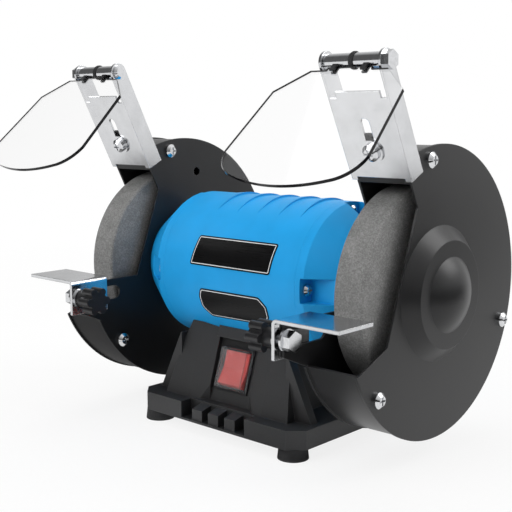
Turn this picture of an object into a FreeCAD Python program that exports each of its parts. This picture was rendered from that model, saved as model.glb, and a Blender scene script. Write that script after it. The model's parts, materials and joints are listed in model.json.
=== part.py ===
import FreeCAD, Part
import math
import os
import re

import Sketcher
from FreeCAD import Placement, Rotation, Vector

# Bench grinder: X runs along the spindle, the switch faces -Y, Z is up, the feet stand on Z = 0.
# Driving sizes in millimetres and degrees: name, value, what it measures.
SIZES = (
    ("axis_height", 100.8, "spindle axis above the bench"),
    ("foot_height", 7.2, "rubber foot"),
    ("foot_bottom_r", 9.6, "foot radius on the bench"),
    ("foot_top_r", 8.8, "foot radius under the plinth"),
    ("foot_x", 58.9, "foot centre from the middle, along the spindle"),
    ("foot_y", 52.2, "foot centre from the middle, front to back"),
    ("foot_screw_r", 2.0, "foot screw shank"),
    ("foot_screw_bite", 9.0, "foot screw length inside the plinth"),
    ("foot_head_r", 4.0, "foot screw head"),
    ("foot_head_h", 2.4, "foot screw head height"),
    ("foot_sink", 2.0, "how deep the screw head sits inside the foot"),
    ("plinth_half_x", 70.0, "half length of the plinth"),
    ("plinth_half_y", 62.0, "half depth of the plinth"),
    ("plinth_height", 12.0, "plinth height"),
    ("plinth_corner", 9.0, "chamfer on the plinth's upright corners"),
    ("recess_half_x", 28.0, "half length of the ribbed recess in the plinth front"),
    ("recess_depth", 9.5, "depth of the ribbed recess"),
    ("recess_floor", 1.4, "floor left under the ribbed recess"),
    ("rib_width", 8.8, "rib in the recess"),
    ("rib_pitch", 14.4, "rib spacing"),
    ("rib_lip", 1.0, "rib set back from the plinth front"),
    ("rib_front", 8.6, "height of a rib at its front"),
    ("base_wall", 3.0, "moulded wall of the base"),
    ("bottom_thick", 2.0, "bottom plate"),
    ("bottom_rim", 6.0, "bottom plate past the cavity"),
    ("bottom_screw_r", 1.3, "bottom plate screw shank"),
    ("bottom_screw_bite", 7.0, "bottom plate screw length inside the base"),
    ("bottom_head_r", 2.6, "bottom plate screw head"),
    ("bottom_head_h", 1.2, "bottom plate screw head height"),
    ("tower_foot_x", 53.4, "half width of the tower on the plinth"),
    ("tower_knee_x", 46.7, "half width of the tower at the knee of its legs"),
    ("tower_knee_rise", 34.0, "knee above the plinth"),
    ("tower_top_x", 39.2, "half width of the tower at its top"),
    ("tower_drop", 25.0, "tower top below the spindle axis"),
    ("tower_foot_y", 51.5, "half depth of the tower on the plinth"),
    ("tower_inset", 15.5, "tower top inside the front of the motor shell"),
    ("panel_half_x", 17.5, "half width of the switch panel between the legs"),
    ("panel_foot_y", 45.6, "switch panel from the middle, on the plinth"),
    ("panel_set", 6.5, "switch panel behind the tower's face, at the tower top"),
    ("panel_drop", 15.6, "top of the panel recess below the tower top"),
    ("lintel_drop", 7.3, "top of the lintel over the panel, below the tower top"),
    ("leg_bevel", 14.5, "width of the bevel on a leg's inner edge"),
    ("leg_bevel_depth", 2.6, "depth of that bevel"),
    ("leg_chamfer", 8.0, "width of the upright chamfer at the foot of that edge"),
    ("side_half_y", 33.0, "half depth of the recess between the legs at each end"),
    ("side_foot_x", 46.0, "end panel from the middle, on the plinth"),
    ("side_top_x", 30.0, "end panel from the middle, at the tower top"),
    ("gusset_y", 41.0, "gusset beside each leg, from the middle"),
    ("gusset_thick", 6.0, "gusset thickness"),
    ("gusset_rise", 40.0, "gusset height on the leg"),
    ("gusset_set", 4.0, "gusset toe set back from the plinth's end"),
    ("saddle_wall", 6.0, "base left under the motor shell"),
    ("switch_lift", 0.8, "switch centre above the middle of its panel"),
    ("switch_half_x", 13.0, "half width of the switch frame"),
    ("switch_half_z", 14.6, "half height of the switch frame"),
    ("switch_lip", 1.2, "switch frame proud of its panel"),
    ("switch_rim", 1.2, "switch frame past its cut-out"),
    ("switch_depth", 16.0, "switch body behind the panel"),
    ("switch_back", 3.0, "floor of the switch body"),
    ("rocker_half_x", 9.9, "half width of the rocker"),
    ("rocker_r", 12.0, "rocker ends from its pivot"),
    ("rocker_pivot", 2.0, "pivot behind the panel"),
    ("rocker_end", 5.6, "front of the rocker's ends from the pivot"),
    ("rocker_middle", 3.9, "front of the rocker's middle from the pivot"),
    ("rocker_tail", 5.0, "back of the rocker from the pivot"),
    ("rocker_throw", 7.0, "tilt to each side of level"),
    ("cap_depth", 5.2, "clear switch cap height"),
    ("cap_wall", 1.0, "clear switch cap wall"),
    ("cap_taper", 0.9, "how far the cap draws in towards its front"),
    ("capacitor_room", 8.1, "room left above the motor capacitor"),
    ("capacitor_length", 46.0, "motor capacitor length"),
    ("capacitor_y", 14.0, "capacitor behind the middle"),
    ("gland_rise", 22.0, "cable gland above the plinth"),
    ("gland_bore_r", 3.7, "bore for the mains lead"),
    ("gland_thread_r", 6.0, "gland thread through the rear panel"),
    ("gland_thread", 8.0, "gland thread length"),
    ("gland_flange_r", 9.5, "gland flange"),
    ("gland_flange", 3.0, "gland flange thickness"),
    ("gland_nose", 7.0, "gland nose"),
    ("shell_r", 49.5, "motor shell radius"),
    ("shell_wall", 3.0, "motor shell wall"),
    ("shell_half", 57.0, "half length of the motor shell"),
    ("louvre_count", 5, "raised louvres over the shell"),
    ("louvre_height", 1.3, "louvre step"),
    ("louvre_pitch", 17.5, "louvre spacing"),
    ("louvre_width", 13.0, "louvre ramp"),
    ("louvre_shift", 8.5, "step of the middle louvre from the middle"),
    ("louvre_half_angle", 36.0, "where a louvre runs out, from the top"),
    ("wire_hole_r", 6.0, "lead hole between base and motor"),
    ("crease_gap", 6.0, "start of the end shield's taper past the shell"),
    ("end_r", 33.0, "end shield radius at the guard"),
    ("shield_wall", 4.0, "end shield wall"),
    ("spigot", 6.0, "end shield spigot inside the shell"),
    ("spigot_wall", 6.0, "spigot wall"),
    ("hub_wall", 4.5, "wall round the bearing seat"),
    ("bolt_inset", 6.0, "through bolts inside the shell's surface"),
    ("bolt_r", 2.0, "through bolt shank"),
    ("bolt_head_r", 3.8, "through bolt head"),
    ("bolt_head_h", 3.0, "through bolt head height"),
    ("bolt_nut_flat", 7.0, "through bolt nut across flats"),
    ("pocket_wall", 3.7, "end shield behind a bolt head"),
    ("pocket_half", 7.4, "half width of a bolt pocket"),
    ("pocket_drop", 4.9, "pocket floor below a through bolt's axis"),
    ("stator_half", 18.0, "half length of the stator core"),
    ("stator_bore_r", 26.0, "stator bore"),
    ("bolt_groove", 1.0, "clearance round a bolt in the stator"),
    ("air_gap", 0.4, "gap between rotor and stator"),
    ("winding_reach", 12.0, "end turns past the stator core"),
    ("winding_inner_r", 29.0, "inside of the end turns"),
    ("winding_clear", 1.5, "through bolts clear of the end turns"),
    ("winding_round", 3.0, "rounding of the end turns"),
    ("rotor_ring", 5.0, "rotor end ring past the core"),
    ("rotor_ring_step", 2.0, "end ring inside the rotor surface"),
    ("rotor_ring_bore_r", 14.0, "inside of the rotor end ring"),
    ("core_shaft_r", 9.0, "shaft through the rotor"),
    ("bearing_gap", 13.0, "inner face of the bearing past the shell"),
    ("bearing_width", 11.0, "bearing width"),
    ("bearing_r", 17.5, "bearing outside radius"),
    ("bearing_bore_r", 7.5, "bearing bore radius"),
    ("bearing_race", 3.2, "height of a bearing ring"),
    ("bearing_dish", 0.8, "bearing side shield set in"),
    ("shaft_clear_r", 10.0, "hole for the shaft in the end shield"),
    ("spindle_r", 6.35, "wheel seat radius"),
    ("spindle_past", 1.5, "spindle past the wheel nut"),
    ("end_length", 31.4, "end shield from the shell to the guard"),
    ("guard_r", 86.0, "wheel guard radius"),
    ("guard_depth", 36.4, "guard from motor side to cover face"),
    ("sheet", 1.5, "guard and cover sheet"),
    ("band_inset", 1.0, "guard band inside the plate edge"),
    ("opening_chord", 40.6, "front opening from the axis"),
    ("opening_half", 39.5, "half height of the opening"),
    ("opening_tilt", 20.0, "opening turned up from the front"),
    ("opening_flare", 43.0, "flare of the opening's edges from its axis"),
    ("guard_hole_r", 12.5, "hole for the spindle in the guard"),
    ("spare_hole_r", 3.0, "spare hole in the guard plate"),
    ("spare_hole_y", 12.4, "spare hole behind the axis"),
    ("spare_hole_rise", 61.8, "spare hole above the axis"),
    ("guard_screw_ring_r", 27.0, "guard screws from the axis"),
    ("guard_screw_r", 2.0, "guard screw shank"),
    ("guard_screw_bite", 6.0, "guard screw length inside the end shield"),
    ("guard_head_r", 3.6, "guard screw head"),
    ("guard_head_h", 2.2, "guard screw head height"),
    ("post_ring_r", 78.4, "cover posts from the axis"),
    ("post_turn", 60.0, "first of the guard's posts and screws from the opening's axis"),
    ("post_r", 4.4, "cover post"),
    ("cover_screw_r", 2.0, "cover screw shank"),
    ("cover_screw_bite", 8.0, "cover screw length inside the post"),
    ("cover_head_r", 4.6, "cover screw head"),
    ("cover_head_h", 3.4, "cover screw head height"),
    ("boss_base_r", 39.6, "raised boss of the cover at its base"),
    ("boss_top_r", 31.5, "flat ring on the boss"),
    ("boss_rise", 7.5, "boss height"),
    ("dome_r", 22.0, "dome in the middle of the boss"),
    ("dome_rise", 8.0, "dome height"),
    ("wheel_r", 62.5, "grinding wheel radius"),
    ("wheel_width", 20.0, "grinding wheel width"),
    ("wheel_gap", 17.2, "middle of the wheel past the guard's motor side"),
    ("wheel_edge", 1.0, "dressed edge of the wheel"),
    ("blotter_thick", 0.8, "paper washer beside the wheel"),
    ("blotter_r", 23.0, "paper washer radius"),
    ("flange_r", 21.0, "wheel flange radius"),
    ("flange_thick", 4.0, "wheel flange"),
    ("flange_relief", 1.2, "hollow in the flange's face"),
    ("flange_rim", 5.0, "bearing ring of the flange's face"),
    ("nut_flat", 19.0, "wheel nut across flats"),
    ("nut_height", 8.0, "wheel nut"),
    ("bracket_clear", 0.3, "spark guard clear of the wheel guard, each side"),
    ("bracket_sheet", 1.5, "spark guard sheet"),
    ("bracket_start", 17.4, "spark guard's lower edge from the opening's corner"),
    ("bracket_plate", 53.5, "spark guard front plate"),
    ("bracket_depth", 12.0, "spark guard side flanges"),
    ("bracket_notch", 2.0, "raised middle of the plate's lower edge"),
    ("bracket_relief", 4.0, "bend relief at the plate's upper corners"),
    ("ear_reach", 69.0, "rod above the spark guard's lower edge"),
    ("slot_half", 2.8, "half width of the adjusting slot"),
    ("slot_low", 18.5, "slot's lower end above the spark guard's lower edge"),
    ("slot_length", 16.5, "slot between its end centres"),
    ("tab_start", 15.0, "guard tab from the opening's corner"),
    ("tab_end", 45.0, "end of the guard tab"),
    ("spark_screw_r", 2.5, "spark guard screw"),
    ("spark_head_r", 4.8, "spark guard screw head"),
    ("spark_head_h", 3.4, "spark guard screw head height"),
    ("spark_tail", 4.0, "spark guard screw behind the tab"),
    ("spark_washer_r", 6.6, "spark guard washer"),
    ("spark_washer", 1.2, "spark guard washer thickness"),
    ("rod_r", 3.0, "hinge rod of the eye shield"),
    ("rod_head_flat", 9.0, "hinge rod head across flats"),
    ("rod_head", 4.0, "hinge rod head"),
    ("rod_tail_r", 4.6, "riveted inner end of the hinge rod"),
    ("rod_tail", 2.2, "riveted end length"),
    ("sleeve_r", 4.4, "sleeve of the eye shield on the rod"),
    ("ring_r", 5.2, "rubber friction ring"),
    ("ring_half", 1.5, "half width of the friction ring"),
    ("lens_drop", 43.0, "eye shield below level"),
    ("lens_thick", 2.0, "eye shield sheet"),
    ("lens_gap", 7.6, "shoulders of the eye shield from the rod"),
    ("lens_top_half", 25.0, "half width of the eye shield at its top"),
    ("lens_shoulder_half", 42.0, "half width of the eye shield at its shoulders"),
    ("lens_shoulder", 23.5, "shoulders below the rod"),
    ("lens_low_half", 46.0, "half width of the eye shield low down"),
    ("lens_low", 69.0, "widest place below the rod"),
    ("lens_corner_half", 32.0, "start of the lower corner"),
    ("lens_corner", 85.5, "lower corner below the rod"),
    ("lens_corner_r", 20.0, "lower corner radius"),
    ("lens_bottom_r", 95.0, "radius of the lower edge"),
    ("clip_half", 1.6, "half width of a clip on the eye shield"),
    ("clip_thick", 1.0, "clip beside the sheet"),
    ("clip_reach", 8.6, "clip below the rod"),
    ("rest_drop", 4.4, "tool rest below the spindle axis"),
    ("rest_front_y", 103.0, "front edge of the tool rest"),
    ("rest_back_y", 74.0, "edge of the tool rest towards the wheel"),
    ("rest_width", 42.6, "outer edge of the tool rest past the guard's motor side"),
    ("rest_thick", 2.0, "tool rest sheet"),
    ("rest_bend", 3.0, "outer bend radius of the tool rest"),
    ("rest_leg", 22.5, "tool rest leg"),
    ("rest_bolt_y", 95.5, "clamp bolt in front of the axis"),
    ("rest_bolt_drop", 16.5, "clamp bolt below the axis"),
    ("rest_bolt_r", 3.0, "clamp bolt"),
    ("rest_travel", 9.0, "tool rest travel towards the wheel"),
    ("arm_reach", 97.0, "front end of the tool rest's arm from the axis"),
    ("arm_depth", 26.0, "underside of the arm's front end below the spindle axis"),
    ("arm_root", 25.0, "arm's underside meets the guard's rim this far below the front"),
    ("arm_slot_half", 4.6, "half width of the arm's slot"),
    ("arm_slot_back", 66.0, "rear end of the arm's slot from the axis, at its centre"),
    ("rest_washer_r", 6.4, "clamp washer"),
    ("rest_washer", 1.4, "clamp washer thickness"),
    ("rest_head_flat", 10.0, "clamp bolt head across flats"),
    ("rest_head", 5.0, "clamp bolt head"),
    ("knob_neck_r", 5.4, "neck of the clamp knob"),
    ("knob_neck", 7.0, "neck length"),
    ("knob_core_r", 6.4, "core of the clamp knob"),
    ("knob_head", 9.5, "star of the clamp knob"),
    ("knob_lobes", 6, "lobes of the star"),
    ("knob_lobe_r", 2.6, "lobe radius"),
    ("knob_lobe_ring_r", 6.6, "lobes from the knob's axis"),
    ("knob_cap", 2.0, "closed end of the knob"),
    ("crown", 0.6, "flat top of a screw head, as a share of its radius"),
    ("drive_arm", 0.55, "arm of a screw's cross recess, as a share of the head's radius"),
    ("drive_width", 1.1, "width of a cross recess"),
    ("drive_depth", 1.4, "depth of a cross recess"),
    ("fit", 0.03, "radial clearance of a fixed fit"),
    ("running", 0.06, "radial clearance of a running fit"),
    ("slide_gap", 0.2, "gap between sliding faces"),
    ("seat_gap", 0.2, "gap between the shell and its saddle"),
    ("loose", 0.4, "clearance of a loose hole or window"),
)

# Places and sizes worked out from the driving ones.
WORKED = (
    ("plinth_top", "foot_height + plinth_height"),
    ("tower_top", "axis_height - tower_drop"),
    ("tower_height", "tower_top - plinth_top"),
    ("tower_top_y", "shell_r - tower_inset"),
    ("panel_top_y", "tower_top_y - panel_set"),
    ("panel_rise", "tower_height - panel_drop"),
    ("lintel_rise", "tower_height - lintel_drop"),
    ("switch_rise", "panel_rise / 2 + switch_lift"),
    ("panel_lean", "atan((panel_foot_y - panel_top_y) / tower_height) / 1 deg"),
    ("switch_y", "panel_foot_y - (panel_foot_y - panel_top_y) * switch_rise / tower_height"),
    ("gland_y", "panel_foot_y - (panel_foot_y - panel_top_y) * gland_rise / tower_height"),
    ("cavity_top", "axis_height - shell_r - saddle_wall"),
    ("cavity_share", "(cavity_top - plinth_top) / tower_height"),
    ("cavity_half_x", "side_foot_x - (side_foot_x - side_top_x) * cavity_share - base_wall"),
    ("cavity_half_y", "panel_foot_y - (panel_foot_y - panel_top_y) * cavity_share - base_wall"),
    ("capacitor_r", "(cavity_top - foot_height - bottom_thick - capacitor_room) / 2"),
    ("bolt_circle_r", "shell_r - bolt_inset"),
    ("winding_outer_r", "bolt_circle_r - bolt_r - winding_clear"),
    ("pocket_floor_r", "bolt_circle_r - pocket_drop"),
    ("pocket_face", "shell_half + pocket_wall"),
    ("crease_x", "shell_half + crease_gap"),
    ("bearing_x", "shell_half + bearing_gap"),
    ("guard_x", "shell_half + end_length"),
    ("wheel_x", "guard_x + wheel_gap"),
    ("rest_outer_x", "guard_x + rest_width"),
    ("louvre_cosine", "cos(louvre_half_angle)"),
    ("louvre_rise", "(2 * shell_r * louvre_height + louvre_height ^ 2) / (2 * louvre_height"
                    " + 2 * shell_r * (1 - louvre_cosine))"),
    ("louvre_r", "shell_r + louvre_height - louvre_rise"),
    ("shell_bore_r", "shell_r - shell_wall"),
    ("taper", "(shell_r - end_r) / (guard_x - crease_x)"),
    ("guard_in", "guard_x + sheet"),
    ("cover_out", "guard_x + guard_depth"),
    ("cover_in", "cover_out - sheet"),
    ("guard_mid", "guard_x + guard_depth / 2"),
    ("wheel_in", "wheel_x - wheel_width / 2"),
    ("wheel_out", "wheel_x + wheel_width / 2"),
    ("shoulder_x", "wheel_in - blotter_thick - flange_thick"),
    ("nut_x", "wheel_out + blotter_thick + flange_thick"),
    ("spindle_end", "nut_x + nut_height + spindle_past"),
    ("bracket_lean", "90 - opening_tilt - opening_flare"),
    ("corner_y", "opening_half * sin(opening_tilt) - opening_chord * cos(opening_tilt)"),
    ("corner_z", "axis_height + opening_chord * sin(opening_tilt) + opening_half * cos(opening_tilt)"),
    ("bracket_half", "guard_depth / 2 + bracket_clear + bracket_sheet"),
    ("bracket_inner", "guard_depth / 2 + bracket_clear"),
    ("plate_front", "slide_gap + bracket_sheet"),
    ("rod_up", "bracket_start + ear_reach"),
    ("rod_back", "bracket_depth / 2 - plate_front"),
    ("rod_y", "corner_y - rod_up * sin(bracket_lean) + rod_back * cos(bracket_lean)"),
    ("rod_z", "corner_z + rod_up * cos(bracket_lean) + rod_back * sin(bracket_lean)"),
    ("lens_tongue", "ring_r + slide_gap"),
    ("rest_top", "axis_height - rest_drop"),
    ("rest_in", "guard_x - slide_gap - rest_thick"),
    ("rest_bolt_z", "axis_height - rest_bolt_drop"),
    ("knob_x", "rest_in - rest_washer - slide_gap"),
)

SHEET_OF = {}
NODES = []
doc = FreeCAD.newDocument("bench_grinder")


def make_sheets():
    """One sheet holds the driving sizes, a second one what follows from them."""
    sizes = doc.addObject("Spreadsheet::Sheet", "sizes")
    for row, (name, number, meaning) in enumerate(SIZES, start=1):
        sizes.set(f"A{row}", meaning)
        sizes.set(f"B{row}", str(number))
        sizes.setAlias(f"B{row}", name)
        SHEET_OF[name] = "sizes"
    worked = doc.addObject("Spreadsheet::Sheet", "worked")
    doc.recompute()
    for row, (name, text) in enumerate(WORKED, start=1):
        worked.set(f"B{row}", "=" + formula(text))
        worked.setAlias(f"B{row}", name)
        SHEET_OF[name] = "worked"
        doc.recompute()
    return worked


def formula(text):
    """Give each size in a formula the name of its sheet."""
    def full_name(match):
        word = match.group()
        return f"{SHEET_OF[word]}.{word}" if word in SHEET_OF else word
    return re.sub(r"[a-z][a-z_]*", full_name, str(text))


def value(text):
    """The number that a formula gives now."""
    number = worked_sheet.evalExpression(formula(text))
    return float(getattr(number, "Value", number))


worked_sheet = make_sheets()


def bind(item, **sizes):
    """Tie an object's properties to formulas."""
    for prop, text in sizes.items():
        item.setExpression(prop, formula(text))


def place(item, at, turn=None, lay=None):
    """Put an object at formulas for X, Y and Z, turned about X or laid along X."""
    rotation = Rotation()
    if lay == "x":
        rotation = Rotation(Vector(0, 1, 0), 90)
    elif turn is not None:
        rotation = Rotation(Vector(1, 0, 0), value(turn))
    item.Placement = Placement(Vector(), rotation)
    for axis, text in zip("xyz", at):
        item.setExpression(f"Placement.Base.{axis}", formula(text))
    return item


def node(label, item):
    """Name a finished piece."""
    item.Label = label
    NODES.append(item)
    return item


def box(at, size, turn=None):
    item = doc.addObject("Part::Box", "box")
    bind(item, Length=size[0], Width=size[1], Height=size[2])
    return place(item, at, turn=turn)


def cylinder(radius, length, at, lay=None, turn=None):
    item = doc.addObject("Part::Cylinder", "cylinder")
    bind(item, Radius=radius, Height=length)
    return place(item, at, lay=lay, turn=turn)


def hexagon(flat, length, at, bore):
    """A nut or bolt head along X."""
    prism = doc.addObject("Part::Prism", "hexagon")
    prism.Polygon = 6
    bind(prism, Circumradius=f"{flat} / sqrt(3)", Height=length)
    place(prism, at, lay="x")
    if bore is None:
        return prism
    return cut(prism, [cylinder(bore, length, at, lay="x")])


def fuse(items):
    item = doc.addObject("Part::MultiFuse", "fuse")
    item.Shapes = items
    return item


def group(items):
    """Separate solids that share a node."""
    item = doc.addObject("Part::Compound", "group")
    item.Links = items
    return item


def cut(base, tools):
    item = doc.addObject("Part::Cut", "cut")
    item.Base = base
    item.Tool = tools[0] if len(tools) == 1 else fuse(tools)
    return item


def common(one, other):
    item = doc.addObject("Part::Common", "common")
    item.Base = one
    item.Tool = other
    return item


def mirrored(source, normal):
    item = doc.addObject("Part::Mirroring", "mirrored")
    item.Source = source
    item.Normal = normal
    return item


def pair(name, right):
    """The right-hand piece and its mirror image on the left."""
    node(f"{name}_right", right)
    node(f"{name}_left", mirrored(right, Vector(1, 0, 0)))


def new_sketch(body, plane):
    sketch = body.newObject("Sketcher::SketchObject", "profile")
    support = [item for item in body.Origin.OriginFeatures if item.Role == plane][0]
    sketch.AttachmentSupport = [(support, "")]
    sketch.MapMode = "FlatFace"
    return sketch


def edge_between(start, end, bend):
    """A line, or an arc: a positive radius turns to the left on its way, a negative one to the right."""
    if bend is None:
        return Part.LineSegment(start, end)
    radius = value(bend)
    if radius < 0:
        start, end = end, start
    chord = end - start
    left = Vector(-chord.y, chord.x, 0).normalize()
    centre = (start + end) * 0.5 + left * (radius ** 2 - chord.Length ** 2 / 4) ** 0.5
    first, last = [math.atan2((spot - centre).y, (spot - centre).x) for spot in (start, end)]
    if last < first:
        last += 2 * math.pi
    return Part.ArcOfCircle(Part.Circle(centre, Vector(0, 0, 1), abs(radius)), first, last)


def draw(sketch, points):
    """A closed outline: each point is two formulas, and a radius where an arc leaves it."""
    count = len(points)
    spots = [Vector(value(point[0]), value(point[1]), 0) for point in points]
    bends = [point[2] if len(point) > 2 else None for point in points]
    starts = []
    ends = []
    for i in range(count):
        following = spots[(i + 1) % count]
        index = sketch.addGeometry(edge_between(spots[i], following, bends[i]), False)
        forward = bends[i] is None or value(bends[i]) > 0
        starts.append((index, 1 if forward else 2))
        ends.append((index, 2 if forward else 1))
    rules = []
    texts = {}
    for i in range(count):
        rules.append(Sketcher.Constraint("Coincident", *ends[i], *starts[(i + 1) % count]))
        for kind, axis, text, number in (("DistanceX", -2, points[i][0], spots[i].x),
                                         ("DistanceY", -1, points[i][1], spots[i].y)):
            if str(text) == "0":
                rules.append(Sketcher.Constraint("PointOnObject", *starts[i], axis))
                continue
            texts[len(rules)] = text
            rules.append(Sketcher.Constraint(kind, -1, 1, *starts[i], number))
        if bends[i] is not None:
            texts[len(rules)] = f"abs({bends[i]})"
            rules.append(Sketcher.Constraint("Radius", starts[i][0], abs(value(bends[i]))))
    first = sketch.ConstraintCount
    sketch.addConstraint(rules)
    for offset, text in texts.items():
        sketch.setExpression(f"Constraints[{first + offset}]", formula(text))


def new_body(at, turn=None):
    return place(doc.addObject("PartDesign::Body", "body"), at, turn=turn)


def turned(points, at=("0", "0", "axis_height"), along="x", turn=None):
    """A turned piece: the profile is length and radius along X, or radius and height about Z."""
    body = new_body(at, turn)
    sketch = new_sketch(body, "XZ_Plane")
    draw(sketch, points)
    spin = body.newObject("PartDesign::Revolution", "turning")
    spin.Profile = sketch
    spin.ReferenceAxis = (sketch, ["H_Axis" if along == "x" else "V_Axis"])
    spin.Angle = 360
    body.Tip = spin
    return body


def prism(plane, points, length, at=("0", "0", "0"), turn=None, middle=True):
    """A profile given its length square to its plane."""
    body = new_body(at, turn)
    sketch = new_sketch(body, plane)
    draw(sketch, points)
    pad = body.newObject("PartDesign::Pad", "length")
    pad.Profile = sketch
    pad.Midplane = middle
    bind(pad, Length=length)
    body.Tip = pad
    return body


def in_bracket(back, up):
    """Formulas for Y and Z of a point in the spark guard's leaning frame."""
    y = f"corner_y + ({back}) * cos(bracket_lean) - ({up}) * sin(bracket_lean)"
    z = f"corner_z + ({back}) * sin(bracket_lean) + ({up}) * cos(bracket_lean)"
    return y, z


def make_feet():
    hole_r = "foot_screw_r + loose"
    sink_r = "foot_head_r + loose"
    seat = "foot_sink + foot_head_h"
    foot = [(sink_r, "0"), ("foot_bottom_r", "0"), ("foot_top_r", "foot_height"),
            (hole_r, "foot_height"), (hole_r, seat), (sink_r, seat)]
    screw = [("0", "foot_sink"), ("foot_head_r", "foot_sink"), ("foot_head_r", seat),
             ("foot_screw_r", seat), ("foot_screw_r", "foot_height + foot_screw_bite"),
             ("0", "foot_height + foot_screw_bite")]
    screws = []
    for end, y in (("front", "-foot_y"), ("rear", "foot_y")):
        for side, x in (("left", "-foot_x"), ("right", "foot_x")):
            node(f"foot_{end}_{side}", turned(foot, (x, y, "0"), along="z"))
            screws.append(turned(screw, (x, y, "0"), along="z"))
    node("foot_screws", group(screws))


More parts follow.
